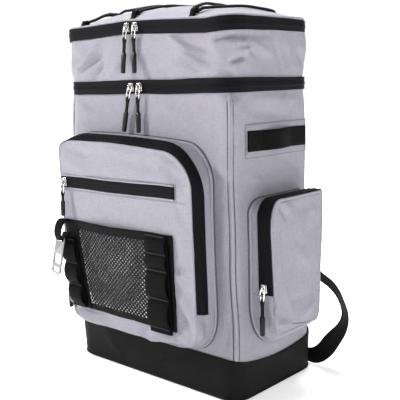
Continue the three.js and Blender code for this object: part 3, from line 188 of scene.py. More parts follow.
def make_piece(name, shape, material, stands_for=(), own_uv=False):
    """Object that rides on the bag and stands for its solids. Its shape is one part or a list of parts,
    each with points in mm, faces and, where the part has one, its own spread for the weave."""
    points, faces, *uv = join_parts(shape) if isinstance(shape, list) else shape
    mesh = bpy.data.meshes.new(name)
    mesh.from_pydata(((np.asarray(points) + (0, middle_y, 0)) / 1000).tolist(), [], faces)
    sheet = bmesh.new()
    sheet.from_mesh(mesh)
    bmesh.ops.recalc_face_normals(sheet, faces=sheet.faces)
    sheet.to_mesh(mesh)
    sheet.free()
    count = len(mesh.loops)
    corner = np.zeros(count, int)
    mesh.loops.foreach_get("vertex_index", corner)
    if own_uv:
        spread = np.asarray(uv[0])[corner] / 1000
    else:
        place = np.zeros(len(mesh.vertices) * 3)
        mesh.vertices.foreach_get("co", place)
        place = place.reshape(-1, 3)[corner]
        facing = np.zeros(len(mesh.polygons) * 3)
        mesh.polygons.foreach_get("normal", facing)
        sizes = np.zeros(len(mesh.polygons), int)
        mesh.polygons.foreach_get("loop_total", sizes)
        facing = np.repeat(np.abs(facing.reshape(-1, 3)), sizes, axis=0)
        flat = (facing[:, 2] > 0.8)[:, None]
        sideways = (facing[:, 0] > facing[:, 1])[:, None]
        upright = np.where(sideways, place[:, [1, 2]], place[:, [0, 2]])
        spread = np.where(flat, place[:, [0, 1]], upright)
    mesh.uv_layers.new(name="UVMap").data.foreach_set("uv", spread.ravel())
    mesh.polygons.foreach_set("use_smooth", [True] * len(mesh.polygons))
    mesh.materials.append(material)
    piece = bpy.data.objects.new(name, mesh)
    bpy.context.scene.collection.objects.link(piece)
    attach(piece, "root")
    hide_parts(*stands_for)
    return piece


def between(rows, at):
    """Columns of a table at values of its first column, on a smooth curve through its rows"""
    rows = np.array(rows, float)
    x, y = rows[:, 0], rows[:, 1:]
    slope = np.gradient(y, x, axis=0)
    at = np.clip(np.asarray(at, float), x[0], x[-1])
    i = np.clip(np.searchsorted(x, at, side="right") - 1, 0, len(x) - 2)
    step = (x[i + 1] - x[i])[..., None]
    t = (at - x[i])[..., None] / step
    start = y[i] * (1 + 2 * t) + slope[i] * step * t
    end = y[i + 1] * (3 - 2 * t) - slope[i + 1] * step * (1 - t)
    return start * (1 - t) ** 2 + end * t ** 2


def plan(side, front, back, inset=0.0, radius=30.0):
    """Points and outward directions round the bag, from the left rear corner by the front. The radius
    is one for all, or one for each corner."""
    side, front, back, radii = side - inset, front - inset, back - inset, np.broadcast_to(radius, 4) - inset
    corners = (
        (-(side - radii[0]), back - radii[0], 90, 34),
        (-(side - radii[1]), -(front - radii[1]), 180, 76),
        (side - radii[2], -(front - radii[2]), 270, 34),
        (side - radii[3], back - radii[3], 0, 40),
    )
    points, directions = [], []
    for c, (x, y, start, straight) in enumerate(corners):
        turn = np.radians(start + np.linspace(0, 90, 13))
        round_corner = np.c_[np.cos(turn), np.sin(turn)]
        points.append(np.array([x, y]) + radii[c] * round_corner)
        directions.append(round_corner)
        end = round_corner[-1]
        finish = np.array(corners[(c + 1) % 4][:2]) + radii[(c + 1) % 4] * end
        share = (np.arange(1, straight) / straight)[:, None]
        points.append(points[-1][-1] + (finish - points[-1][-1]) * share)
        directions.append(np.repeat(end[None], straight - 1, axis=0))
    return np.concatenate(points), np.concatenate(directions)


body_rows = [  # height, half width, front
    (0, 157.6, 86.3), (61, 160, 88.5), (138.5, 160.5, 91.4), (191.5, 160.5, 93.0), (244.5, 160.2, 93.6),
    (285, 159.8, 93.2), (326, 159.5, 91.9), (379, 159.0, 89.2), (397.7, 157.6, 87.2), (408, 157.6, 87.2),
]
body_top = 407.5


def back_of(z):
    """The back of the body leans forward by 6.5 mm up to its top"""
    return 91 - 6.5 * z / body_top


def corner_radius(z):
    """Radii of the four corners, in the order of the plan. The one at the front right is the sharpest."""
    return np.array([30, 30, np.interp(z, (0, 60, 386, 399), (26, 15, 15, 30)), 30])


def body_ring(z, inset=0.0):
    """Points and outward directions round the body at a height"""
    side, front = between(body_rows, z)
    return plan(side, front, back_of(z), inset, corner_radius(z))


def rings_to_grid(rings, heights):
    """Rings of plan points at their heights, as rows of points"""
    return np.array([np.c_[ring, np.broadcast_to(z, len(ring))] for ring, z in zip(rings, heights)])


def outward(grid):
    """Outward directions of a grid whose rows run round and whose columns run up"""
    direction = np.cross(np.roll(grid, -1, 1) - np.roll(grid, 1, 1), np.gradient(grid, axis=0))
    return direction / np.maximum(np.linalg.norm(direction, axis=-1, keepdims=True), 1e-9)


fold_gain = 2.5  # how much deeper a fold is made than its listed height


def folded(grid, directions, folds):
    """Grid pressed in or raised along its folds: x y z to x y z, width and height"""
    lift = np.zeros(grid.shape[:-1])
    for row in folds:
        start, end, width, height = np.array(row[:3]), np.array(row[3:6]), row[6], row[7]
        run = end - start
        t = np.clip((grid - start) @ run / (run @ run), 0, 1)
        away = np.linalg.norm(grid - start - t[..., None] * run, axis=-1) / width
        fade = 0.35 + 0.65 * np.sin(np.pi * np.clip(t, 0.02, 0.98)) ** 0.6
        lift += fold_gain * height * fade / (1 + away ** 2) ** 2
    return grid + directions * lift[..., None]


def ripple_along(values, size, *seed):
    """Gentle unevenness along a row of values"""
    return np.array([noise.noise(Vector((value / size, *seed))) for value in values])


def softened(grid, directions, size, height, seed, fade=1.0):
    """Grid with the gentle unevenness of soft cloth"""
    shift = Vector((seed * 3.7, seed * 1.3, seed * 5.1))
    flat = grid.reshape(-1, 3) / size
    lift = np.array([noise.noise(Vector(p) + shift) for p in flat]).reshape(grid.shape[:-1])
    return grid + directions * (lift * height * fade)[..., None]


def loft(grids):
    """Points and faces through the rows of one grid after another, with its ends closed"""
    grid = np.concatenate(grids)
    rows, count = grid.shape[:2]
    r, i = np.meshgrid(np.arange(rows - 1), np.arange(count), indexing="ij")
    a, b = r * count + i, r * count + (i + 1) % count
    faces = np.stack([a, b, b + count, a + count], -1).reshape(-1, 4).tolist()
    points = grid.reshape(-1, 3)
    for start in (0, (rows - 1) * count):
        points = np.vstack([points, points[start:start + count].mean(0)])
        tip = len(points) - 1
        faces += [[start + k, start + (k + 1) % count, tip] for k in range(count)]
    return points, faces


heights = np.r_[2.8, 6, 14, 28, 42, np.linspace(50, 404, 119), 406, 407.2]
body = rings_to_grid([body_ring(z)[0] for z in heights], heights)
facing = outward(body)
seams_fade = np.clip((heights - 60) / 30, 0, 1) * np.clip((404 - heights) / 20, 0.15, 1)
body = softened(body, facing, 95, 1.6, 1, seams_fade[:, None])
body = softened(body, facing, 30, 0.5, 2, seams_fade[:, None])
body = folded(body, facing, [
    (-161, 66, 66, -160, 63, 398, 1.6, -1.3),
    (161, 66, 66, 160, 63, 398, 1.6, -1.3),
    (160, 26, 399, 160, 6, 368, 7, 1.3),
    (160, 34, 396, 160, 18, 366, 6, -1.0),
    (152, -84, 398, 120, -90, 385, 9, 1.2),
    (138, -90, 392, 100, -90, 372, 10, -1.0),
    (-140, -89, 396, -112, -90, 372, 9, 1.0),
    (161, -40, 300, 161, -20, 279, 8, -0.9),
    (161, -60, 70, 161, 10, 62, 9, 1.0),
    (150, -84, 118, 140, -91, 72, 9, -1.2),
    (161, -50, 392, 161, 44, 386, 9, 1.4),
    (161, -50, 374, 161, 30, 366, 9, -1.2),
    (161, 20, 312, 161, 62, 286, 9, -1.6),
    (161, -50, 292, 161, -10, 282, 9, 1.2),
    (133, -90, 392, 133, -91, 100, 5, -1.1),
    (20, -90, 388, 90, -91, 366, 10, 1.2),
    (-110, -90, 384, -40, -91, 364, 10, -1.0),
    (150, -86, 300, 146, -90, 190, 7, 1.0),
])
inner_heights = np.array([407.35, 407.0, 380, 200, 40, 12, 9.8])
inner_insets = (2, 7, 7, 7, 7, 7.5, 11)
inner_rings = [body_ring(z, inset)[0] for z, inset in zip(inner_heights, inner_insets)]
inner = rings_to_grid(inner_rings, inner_heights)
make_piece("body_cloth", loft([body, inner]), grey_cloth, ["body_shell"])


# Corner welts
# A strip of the same cloth folded and sewn up each front corner, with a sewn line on each side drawn as a
# dark line of painted shade in its groove.
def lengths_along(path):
    """Length up to each point of a path"""
    return np.r_[0, np.cumsum(np.linalg.norm(np.diff(path, axis=0), axis=1))]


def sweep(centre, across, out, section, width, share=None):
    """Points, faces and spread of a strip. Its section is in shares of the width and in mm outwards."""
    section = np.array(section, float)
    share = np.ones(len(centre)) if share is None else np.asarray(share)
    wide = section[None, :, 0:1] * (width * share)[:, None, None]
    grid = centre[:, None] + across[:, None] * wide + out[:, None] * section[None, :, 1:2]
    points, faces = loft([grid])
    sides = np.r_[0, np.cumsum(np.hypot(np.diff(section[:, 0]) * width, np.diff(section[:, 1])))]
    v, u = np.meshgrid(lengths_along(centre), sides, indexing="ij")
    uv = np.c_[u.ravel(), v.ravel()]
    return points, faces, np.vstack([uv, uv[0], uv[-1]])


def unit(vectors):
    """Vectors scaled to a length of one"""
    return vectors / np.maximum(np.linalg.norm(vectors, axis=-1, keepdims=True), 1e-9)


def join_parts(parts):
    """Several parts' points, faces and spreads as one"""
    points, faces, uvs, start = [], [], [], 0
    for part in parts:
        points.append(part[0])
        faces += [[i + start for i in face] for face in part[1]]
        uvs.append(part[2] if len(part) > 2 else np.zeros((len(part[0]), 2)))
        start += len(part[0])
    return np.vstack(points), faces, np.vstack(uvs)


def tube(path, radius, sides=8):
    """Points, faces and spread of a round cord along a path"""
    path = np.asarray(path, float)
    run = unit(np.gradient(path, axis=0))
    side = unit(np.cross(run[0], (0.31, 0.17, 0.93)))
    sides_at = []
    for direction in run:
        side = unit(side - (side @ direction) * direction)
        sides_at.append(side)
    sides_at = np.array(sides_at)
    third = np.cross(run, sides_at)
    turn = np.linspace(0, 2 * np.pi, sides, endpoint=False)
    radius = np.broadcast_to(radius, len(path))[:, None, None]
    grid = path[:, None] + radius * (
        sides_at[:, None] * np.cos(turn)[None, :, None] + third[:, None] * np.sin(turn)[None, :, None])
    points, faces = loft([grid])
    v, u = np.meshgrid(lengths_along(path), turn * radius.max(), indexing="ij")
    return points, faces, np.vstack([np.c_[u.ravel(), v.ravel()], (0, 0), (0, 0)])


def same(direction, count):
    """One direction, repeated for each point of a path"""
    return np.tile(np.array(direction, float), (count, 1))


# Painted shade: a dark colour for the shadow that falls in the groove of a sunk seam.
seam_groove_shade = woven("painted_groove_shade", (0.075, 0.072, 0.082), (0.11, 0.106, 0.12), 0.9)
welt_section = [(-0.5, -0.9), (-0.46, 0.5), (-0.38, 1.7), (-0.2, 2.5), (0, 2.7), (0.2, 2.5), (0.38, 1.7),
                (0.46, 0.5), (0.5, -0.9)]
for hand, side_name in ((1, "right"), (-1, "left")):
    levels = np.linspace(59.5, 398.5, 90)
    forms = between(body_rows, levels)
    turn = math.radians(-45 if hand > 0 else -42)
    direction = np.array([hand * math.cos(turn), math.sin(turn), 0])
    bend = np.array([corner_radius(z)[2 if hand > 0 else 1] for z in levels])
    corner = np.c_[hand * (forms[:, 0] - bend), -(forms[:, 1] - bend), levels] + bend[:, None] * direction
    wander = ripple_along(levels, 70, 4.2, hand)
    slide = np.array([-direction[1], direction[0], 0]) * hand
    corner = corner + slide * (wander * 1.6)[:, None]
    out, across = same(direction, len(levels)), same(slide, len(levels))
    make_piece("corner_welt_" + side_name, sweep(corner, across, out, welt_section, 6.4), grey_cloth,
               ["corner_welt_" + side_name])
    # Dark lines of painted shade in the grooves on each side of the welt.
    lines = [tube(corner + across * (s * 3.7) - out * 0.25, 0.6, 6) for s in (-1, 1)]
    make_piece("corner_welt_groove_shades_" + side_name, lines, seam_groove_shade)


# Base boot
# A cup of coated black cloth pulled over the body's foot and topstitched to it. Its top edge dips at
# the sides, and a corded seam runs round just above the ground.
black_cloth = woven("coated_black_cloth", (0.0035, 0.0035, 0.0038), (0.0065, 0.0065, 0.007), 0.6,
                    relief=0.3, specular=0.07)


def boot_top(ring):
    """Height of the boot's edge, lower at the sides"""
    forward = np.clip(np.abs(ring[:, 1]) / 88.5, 0, 1)
    sideways = np.clip((np.abs(ring[:, 0]) - 130) / 30, 0, 1)
    return 59 - 12 * sideways * (1 - forward * forward)


full, full_out = body_ring(59.0, -2.4)
edge_height = boot_top(full)
boot_rows = []
for share in np.linspace(0, 1, 26):
    z = 6 + (edge_height - 6) * share
    side, front = between(body_rows, z.mean())
    ring = plan(side, front, 91, -2.4, corner_radius(z.mean()))[0]
    boot_rows.append(np.c_[ring, z])
boot = np.array(boot_rows)
boot_out = outward(boot)
boot = softened(boot, boot_out, 60, 1.2, 5, np.sin(np.pi * np.linspace(0.05, 1, 26))[:, None] ** 0.5)
boot = folded(boot, boot_out, [
    (150, -80, 46, 120, -91, 20, 7, 0.9), (60, -91, 50, 20, -91, 26, 9, -0.9),
    (-90, -91, 46, -60, -91, 20, 8, 0.9),
    (162, -30, 42, 162, 10, 20, 9, -0.9), (162, 40, 40, 162, 60, 16, 8, 0.8),
    (150, -82, 52, 150, -82, 12, 5, 0.8),
])
foot = []
for z, inset in ((0.0, 3.4), (0.4, 1.4), (1.4, -0.6), (3.0, -2.4), (3.8, -3.4), (4.6, -3.6), (5.4, -3.2)):
    foot.append(np.c_[body_ring(z, inset)[0], np.full(len(full), z)])
hem_forms = ((-1.9, 0.5), (-1.0, 0.5), (-0.35, 0.1))
hem = [np.c_[body_ring(59.0, inset)[0], edge_height + lift] for inset, lift in hem_forms]
lining_forms = ((30.0, -0.35, 3.2), (3.0, 1.0, 2.6))
lining = [np.c_[body_ring(level, inset)[0], np.full(len(full), z)] for level, inset, z in lining_forms]
make_piece("boot_cloth", loft([np.array(foot), boot, np.array(hem), np.array(lining)]), black_cloth,
           ["base_boot"])


def at_lengths(where, far, rows):
    """Rows of values between a path's points, at given lengths along it"""
    return np.stack([np.interp(where, far, column) for column in np.transpose(rows)], -1)


def stitches(path, out, across, length=2.6, gap=1.5, thick=0.34, lift=0.2):
    """Points and faces of a row of stitches along a path"""
    far = lengths_along(path)
    at = np.arange(gap, far[-1] - length, length + gap)
    parts_points, faces = [], []
    section = np.array([(-1, 0), (-0.7, 0.7), (0.7, 0.7), (1, 0), (0, -0.6)]) * thick
    for n, start in enumerate(at):
        where = start + np.array([0, 0.25, 0.75, 1]) * length
        spot = at_lengths(where, far, path)
        normal = unit(at_lengths(start, far, out))
        wide = unit(at_lengths(start, far, across))
        size = np.array([0.35, 1, 1, 0.35])[:, None, None]
        ring = spot[:, None] + size * (wide * section[None, :, 0:1] + normal * section[None, :, 1:2])
        ring = ring + normal * (lift - np.array([0.25, 0, 0, 0.25])[:, None, None])
        base = n * 20
        parts_points.append(ring.reshape(-1, 3))
        for low in (base, base + 5, base + 10):
            for k in range(5):
                after = (k + 1) % 5
                faces.append([low + k, low + after, low + 5 + after, low + 5 + k])
        faces += [[base + k for k in range(5)], [base + 15 + k for k in range(5)]]
    return np.vstack(parts_points), faces


hem_row = boot[-3]
points, faces = stitches(np.vstack([hem_row, hem_row[:1]]),
                         np.vstack([full_out, full_out[:1]]) @ np.eye(2, 3),
                         same((0, 0, 1), len(full) + 1))
black_thread = woven("black_thread", (0.008, 0.008, 0.0085), (0.014, 0.014, 0.015), 0.6, specular=0.1)
make_piece("boot_stitches", (points, faces), black_thread)


# Upper compartment
# A softer tub of the same cloth on the main one. It has no frame, so it slumps into soft diagonal
# creases between its two zips.
upper_rows = [  # share of the height, half width, front, back
    (0, 157.2, 87.2, 84.2), (0.12, 157.4, 87.4, 84.2), (0.24, 158, 88.6, 84.6), (0.5, 159.2, 89.6, 85.4),
    (0.75, 160, 89.2, 86), (0.88, 160, 87.6, 86.6), (1, 160, 87.6, 86.2),
]
wave_rows = [(-1, 0), (-0.6, 0.3), (-0.15, 1), (0.35, 0.2), (0.75, -0.6), (1, 0)]


def top_wave(x, y):
    """How far the top zip rises above its level, along the front only"""
    forward = np.clip(-y / 88.5, 0, 1)
    along = np.clip(x / 160, -1, 1)
    return 4 * np.interp(along, [r[0] for r in wave_rows], [r[1] for r in wave_rows]) * forward ** 2


top_lean = -2.2  # how far the upper compartment leans to the left at its top
upper_foot = 407.65
shares = np.linspace(0, 1, 40)
upper = []
for share in shares:
    side, front, back = between(upper_rows, share)
    ring = plan(side, front, back)[0]
    z = upper_foot + 74.7 * share + top_wave(ring[:, 0], ring[:, 1]) * share
    upper.append(np.c_[ring + (top_lean * share, 0), z])
upper = np.array(upper)
facing = outward(upper)
held = np.sin(np.pi * np.clip(shares, 0.04, 0.96))[:, None] ** 0.7
upper = softened(upper, facing, 48, 4.2, 7, held)
upper = softened(upper, facing, 20, 1.6, 8, held)
upper = folded(upper, facing, [
    (-123, -89, 432, -76, -89, 452, 5, -3.0), (-118, -89, 443, -84, -89, 462, 6, 2.0),
    (-95, -89, 421, -72, -89, 441, 4.5, -2.4), (-134, -86, 440, -102, -89, 457, 4.5, -2.0),
    (-60, -89, 424, -38, -89, 440, 6, 1.2), (60, -89, 470, 88, -89, 455, 5, 2.2),
    (76, -89, 452, 122, -89, 430, 4.5, 2.8), (70, -89, 444, 112, -89, 424, 6, -2.2),
    (84, -89, 462, 128, -88, 448, 6, -1.8), (136, -88, 463, 160, -74, 468, 3.2, -4.0),
    (161, -74, 468, 161, -14, 468, 3.2, -3.4), (146, -82, 458, 161, -60, 459, 5, 2.2),
    (152, -78, 436, 161, -60, 442, 3.2, -3.6), (158, -70, 448, 161, -50, 452, 5, 2.0),
    (161, -54, 453, 161, -24, 436, 4, -3.0), (161, -42, 459, 161, -8, 444, 5, 2.4),
    (161, 0, 460, 161, 16, 428, 6, -1.6), (161, 24, 462, 160, 44, 430, 7, 1.6),
    (160, 50, 452, 158, 70, 424, 6, -1.5),
    (140, -84, 426, 152, -78, 418, 5, -1.6), (30, -89, 428, 54, -89, 418, 6, -1.2),
    (-12, -89, 426, 10, -89, 418, 6, 1.0),
    (-160, -50, 452, -161, -10, 430, 6, -2.4), (-161, 10, 456, -161, 46, 430, 7, 2.0),
    (-90, 88, 452, -40, 88, 432, 7, -2.2), (20, 88, 450, 84, 88, 436, 8, 2.2),
    (100, 87, 444, 130, 84, 424, 6, -1.8),
])
inner = []
for share, inset in ((1, 2), (1, 7), (0.5, 9), (0.1, 7)):
    side, front, back = between(upper_rows, share)
    ring = plan(side, front, back, inset)[0]
    z = upper_foot + 74.8 * share + top_wave(ring[:, 0], ring[:, 1]) * share
    inner.append(np.c_[ring + (top_lean * share, 0), z])
make_piece("upper_cloth", loft([upper, np.array(inner)]), grey_cloth, ["upper_shell"])


# Lid
# A soft domed panel of the same cloth over thin foam, with its edge turned down to the top zip.
def lid_height(x, y):
    """Height of the dome"""
    u = np.clip(np.abs(x) / 158, 0, 1)
    v = np.clip(np.abs(y) / 86.5, 0, 1)
    return 491 + 22 * (1 - u ** 3) * (1 - v ** 4) + top_wave(x, y)


rim, rim_out = plan(160, 87.6, 87.2)
rim = rim + (top_lean, 0)
skirt = [np.c_[rim - rim_out * inset, z + top_wave(rim[:, 0], rim[:, 1])]
         for inset, z in ((0.4, 482.7), (0.0, 487), (-0.3, 491), (0.1, 493), (1.1, 494))]
dome = []
dome_shares = np.r_[0.985, 0.968, np.linspace(0.945, 0.03, 34)]
for share in dome_shares:
    ring = rim * share
    edge = 1.4 * np.exp(-((1 - share) / 0.05) ** 2)
    dome.append(np.c_[ring, lid_height(ring[:, 0], ring[:, 1]) + edge])
dome = np.array(dome)
up = np.tile((0.0, 0.0, 1.0), (*dome.shape[:2], 1))
inside = np.clip((1 - dome_shares) / 0.12, 0, 1)[:, None]
dome = softened(dome, up, 70, 2.2, 11, inside)
dome = softened(dome, up, 24, 0.7, 12, inside)
dome = folded(dome, up, [
    (-120, -62, 498, -80, -20, 510, 9, -1.3), (-10, -62, 503, 10, -20, 512, 9, -1.2),
    (96, -62, 500, 110, -20, 508, 9, -1.2),
    (-70, 50, 506, -40, 20, 512, 10, 1.2), (40, 48, 507, 60, 10, 512, 10, -1.2),
])
under_rim = plan(160, 87.6, 87.2, 5)[0] + (top_lean, 0)
under = [np.c_[under_rim, 482.7 + top_wave(under_rim[:, 0], under_rim[:, 1])]]
for share in (0.75, 0.5, 0.2):
    ring = rim * share
    under.append(np.c_[ring, lid_height(ring[:, 0], ring[:, 1]) - 6])
make_piece("lid_cloth", loft([np.array(under)[::-1], np.array(skirt), dome]), grey_cloth,
           ["lid_panel"])


# Body zips
# Two closed zips with wide black tape, sewn round the front and both sides. The tape covers the teeth
# on its back, so only a fine line shows along its middle.
zip_tape = woven("zip_tape", (0.0042, 0.004, 0.0047), (0.0085, 0.008, 0.0095), 0.5, slub=(60, 1400),
                 thread=2400, relief=0.35, specular=0.035)
zip_section = [
    (-0.5, 0), (-0.5, 1.0), (-0.485, 1.35), (-0.45, 1.45), (-0.3, 1.35), (-0.13, 1.4), (-0.09, 1.85),
    (-0.03, 1.9),
    (0, 1.15), (0.03, 1.9), (0.09, 1.85), (0.13, 1.4), (0.3, 1.35), (0.45, 1.45), (0.485, 1.35),
    (0.5, 1.0), (0.5, 0),
]
first, last = 6, 186  # points of the plan between the two rear ends of a band
for band, side, front, back, level, waved in (
    ("main_zip_band", 157.6, 87.2, 84.5, body_top, False),
    ("top_zip_band", 160, 87.6, 87.2, 482.5, True),
):
    ring, ring_out = plan(side, front, back, -0.35)
    ring, ring_out = ring[first:last + 1], ring_out[first:last + 1]
    far = lengths_along(ring)
    steps = np.linspace(0, far[-1], 330)
    ring = at_lengths(steps, far, ring)
    ring_out = unit(at_lengths(steps, far, ring_out))
    drift = ripple_along(steps, 60, level, 0.5)
    swell = ripple_along(steps, 34, level, 9.5)
    z = level + drift * 1.1 + (top_wave(ring[:, 0], ring[:, 1]) if waved else 0)
    centre = np.c_[ring + (top_lean if waved else 0, 0), z]
    out = np.c_[ring_out, np.zeros(len(ring))]
    across = same((0, 0, 1), len(ring))
    near_end = np.minimum(steps, steps[-1] - steps)
    share = np.sqrt(np.clip(1 - (1 - np.clip(near_end / 7, 0, 1)) ** 2, 0.12, 1)) * (1 + 0.05 * swell)
    share = share * (1 - 0.13 * np.clip((steps / steps[-1] - 0.72) / 0.28, 0, 1))
    section = np.array(zip_section) * (1, 1 if waved else 1.5)
    make_piece(band + "_tape", sweep(centre, across, out, section, 17.4 if waved else 18.4, share),
               zip_tape, [band], True)


# Front pocket
# A big boxed pocket of the same cloth. Its face and gusset meet in a rolled seam, and corded piping
# runs in the crook between the gusset and the body.
def pocket_plan(shape, share=1.0, inset=0.0):
    """Points round a pocket at a share of its depth, from its low right corner by the top, and their
    outward directions. A row of the shape is a share, its edges, four corners' reach and its taper."""
    rows = np.array(shape["rows"], float)
    left, right, low, high, *reach, taper = [np.interp(share, rows[:, 0], rows[:, k]) for k in range(1, 14)]
    corners = []
    for c in range(4):
        across, up = reach[2 * c:2 * c + 2]
        x = (right, right, left, left)[c] + (-across, -across, across, across)[c]
        z = (low, high, high, low)[c] + (up, -up, -up, up)[c]
        turn = np.radians((270, 0, 90, 180)[c] + np.linspace(0, 90, 15))
        corners.append(np.c_[x + across * np.cos(turn), z + up * np.sin(turn)])
    points = []
    for c, corner in enumerate(corners):
        points.append(corner)
        after = corners[(c + 1) % 4][0]
        along = (np.arange(1, shape["steps"]) / shape["steps"])[:, None]
        points.append(corner[-1] + (after - corner[-1]) * along)
    points = np.concatenate(points)
    points[:, 0] *= 1 - taper * np.clip((226 - points[:, 1]) / 100, 0, 1.3)
    rightward = np.clip((points[:, 0] - left) / (right - left), 0, 1)
    points[:, 1] -= shape.get("fall", 0) * rightward ** 2.5 * np.clip((points[:, 1] - 226) / 100, 0, 1)
    along = unit(np.roll(points, -1, 0) - np.roll(points, 1, 0))
    directions = np.c_[along[:, 1], -along[:, 0]]
    return points - directions * np.reshape(inset, (-1, 1)), directions


def face_of(z):
    """Depth of the pocket's face, which leans out towards its top"""
    return 126 + 6.5 * (z - 68) / 275


def on_front(a, z, share, lift=0.0):
    """Point at a share of the way from the body's front to the pocket's face"""
    wall = between(body_rows, z)[..., 1] + 0.3
    y = -(wall + (face_of(z) - wall) * share + lift)
    return np.stack(np.broadcast_arrays(a, y, z), -1)


def pocket_rows(shape, place, groove_at, foot, crown, deep, seed):
    """Rows of a pocket's cloth from the wall over the gusset to the middle of its face"""
    rows = []
    for share in (0, 0.01, 0.04, 0.1, 0.18, 0.26, 0.33, 0.38, 0.42, 0.46, 0.5, 0.6, 0.7, 0.8, 0.9, 0.95):
        base, away = pocket_plan(shape, share)
        open_gusset = np.clip((foot - base[:, 1]) / 12, 0, 1)
        soft = 1.6 * math.sin(math.pi * share) * open_gusset
        lump = np.array([noise.noise(Vector((a / 26, z / 26, seed + share * 2))) for a, z in base])
        soft = soft + lump * (0.3 + 1.5 * open_gusset) * math.sin(math.pi * min(share / groove_at, 1))
        inset = (3.5 if share == 0 else 0.4) - soft
        spot, away = pocket_plan(shape, share, inset)
        rows.append(place(spot[:, 0], spot[:, 1], share))
    for inset, share, lift in ((0.1, 0.97, 0), (-0.3, 0.99, 0), (0.1, 1, 0.5), (1.0, 1, 1.0),
                               (2.2, 1, 0.8), (3.2, 1, -0.1)):
        spot, away = pocket_plan(shape, share, inset)
        rows.append(place(spot[:, 0], spot[:, 1], share, lift))
    base, away = pocket_plan(shape)
    middle = (base.max(0) + base.min(0)) / 2
    for share in np.r_[0.958, 0.938, np.linspace(0.915, 0.03, deep)]:
        spot = middle + (base - middle) * share
        lump = np.array([
            noise.noise(Vector((a / 55, z / 55, seed))) * 1.4 + noise.noise(Vector((a / 23, z / 23,
                                                                                    seed))) * 0.7
            for a, z in spot])
        held = min((1 - share) * 8, 1)
        rows.append(place(spot[:, 0], spot[:, 1], 1, crown * (1 - share ** 8) + (lump - 0.4) * held))
    return np.array(rows)


front_shape = {"steps": 22, "fall": 12, "rows": [
    (0, -127, 129.5, 68, 343.5, 34, 52, 40, 50, 38, 20, 30, 36, 0),
    (0.43, -126.5, 128.5, 70, 343.5, 38, 40, 60, 68, 38, 18, 36, 36, 0),
    (0.97, -127, 127.3, 74.5, 336.3, 45, 24, 45, 45, 36, 15, 42, 34, 0),
]}
grid = pocket_rows(front_shape, on_front, 0.42, 126, 1.2, 30, 3.0)
facing = outward(grid)
facing = facing * -np.sign(facing[24:, :, 1].mean())
grid = folded(grid, facing, [
    (-126, -128, 92, -66, -127.8, 87, 5, -2.8), (-112, -127.8, 84, -60, -127.7, 79, 6, 2.2),
    (-66, -127.9, 91, -22, -127.7, 80, 4, -2.4), (-40, -128, 92, 10, -127.7, 82, 6, 1.6),
    (24, -127.6, 76, 38, -128, 92, 3, -2.6), (44, -127.5, 74, 56, -127.9, 90, 6, 1.6),
    (98, -130, 176, 118, -130.2, 186, 5, -2), (96, -129.8, 168, 120, -130, 176, 5, 1.6),
    (70, -133.5, 324, 106, -133, 306, 5, 2.4), (76, -133.3, 316, 104, -132.8, 296, 6, -2.4),
    (100, -132.7, 292, 122, -132.8, 296, 4, -1.6), (-118, -133.5, 326, -60, -133.3, 318, 6, -1.6),
    (-40, -133.6, 330, 40, -133.4, 322, 8, 1.2), (-10, -133.3, 316, 60, -133.1, 308, 8, -1.2),
    (20, -132.9, 300, 96, -132.7, 292, 7, 1), (98, -132, 262, 122, -131.4, 236, 6, -1.6),
    (104, -131, 220, 124, -130.7, 206, 5, 1.6), (100, -129.2, 146, 124, -128.6, 118, 6, 1.8),
    (98, -128.8, 128, 118, -128.1, 98, 5, -2), (90, -128, 92, 122, -127.8, 84, 5, 1.8),
    (-116, -133, 306, -80, -132.9, 300, 6, 1), (60, -127.5, 73, 112, -127.7, 80, 4, -1.8),
    (127, -112, 118, 127, -100, 78, 5, -2.4), (127, -124, 112, 127, -116, 86, 5, 2),
    (122, -106, 84, 96, -104, 69, 5, -2), (126, -98, 230, 126, -97, 140, 5, 1),
    (120, -98, 316, 126, -98, 270, 5, -1.4),
])
make_piece("front_pocket_cloth", loft([grid]), grey_cloth, ["front_pocket_shell"])


def pocket_trim(name, shape, place, hand_name=""):
    """Piping in the crook of a pocket, with a dark line of painted shade beside it in the groove of its sunk
    sewn seam
    """
    for tag, inset, lift, radius, material in (
        ("piping", -0.2, 2.0, 2.0, grey_cloth), ("piping_groove_shade", -2.7, 0.35, 0.55, seam_groove_shade),
    ):
        spot, away = pocket_plan(shape, 0, inset)
        path = place(spot[:, 0], spot[:, 1], 0, lift)
        path = np.vstack([path, path[:2]])
        stands = [name + "_piping" + hand_name] if tag == "piping" else []
        make_piece(name + "_" + tag + hand_name, tube(path, radius, 8), material, stands)


def pocket_zip(name, shape, place, gusset, foot, hand_name="", slant=0.0):
    """Zip tape over the arch of a pocket's gusset"""
    wall, away = pocket_plan(shape, gusset[0], -0.3)
    face, away = pocket_plan(shape, gusset[1], -0.3)
    kept = np.nonzero((wall[:, 1] > foot) & (face[:, 1] > foot))[0]
    wall = place(wall[:, 0], wall[:, 1], gusset[0])[kept]
    face = place(face[:, 0], face[:, 1], gusset[1])[kept]
    for end in (0, -1):
        wall[end, 2], face[end, 2] = foot - slant, foot
    across = unit(face - wall)
    out = unit(np.cross(across, np.gradient((wall + face) / 2, axis=0)))
    top = len(kept) // 2
    if out[top, 2] < 0:
        out = -out
    width = np.linalg.norm(face - wall, axis=1)
    drift = ripple_along(range(len(kept)), 9, foot / 50, 1.5)
    centre = (wall + face) / 2 + out * (0.2 + 0.5 * drift[:, None].clip(0, 1))
    points, faces, uv = sweep(centre, across, out, zip_section, 1.0, width)
    uv = uv * (width.mean(), 1)
    make_piece(name + "_zip_tape" + hand_name, (points, faces, uv), zip_tape,
               [name + "_zip" + hand_name], True)
    # A dark line of painted shade along the tape's sewn edge at the wall.
    make_piece(name + "_zip_edge_shade" + hand_name, tube(wall - across * 0.5 + out * 0.1, 0.4, 6), seam_shade_paint)
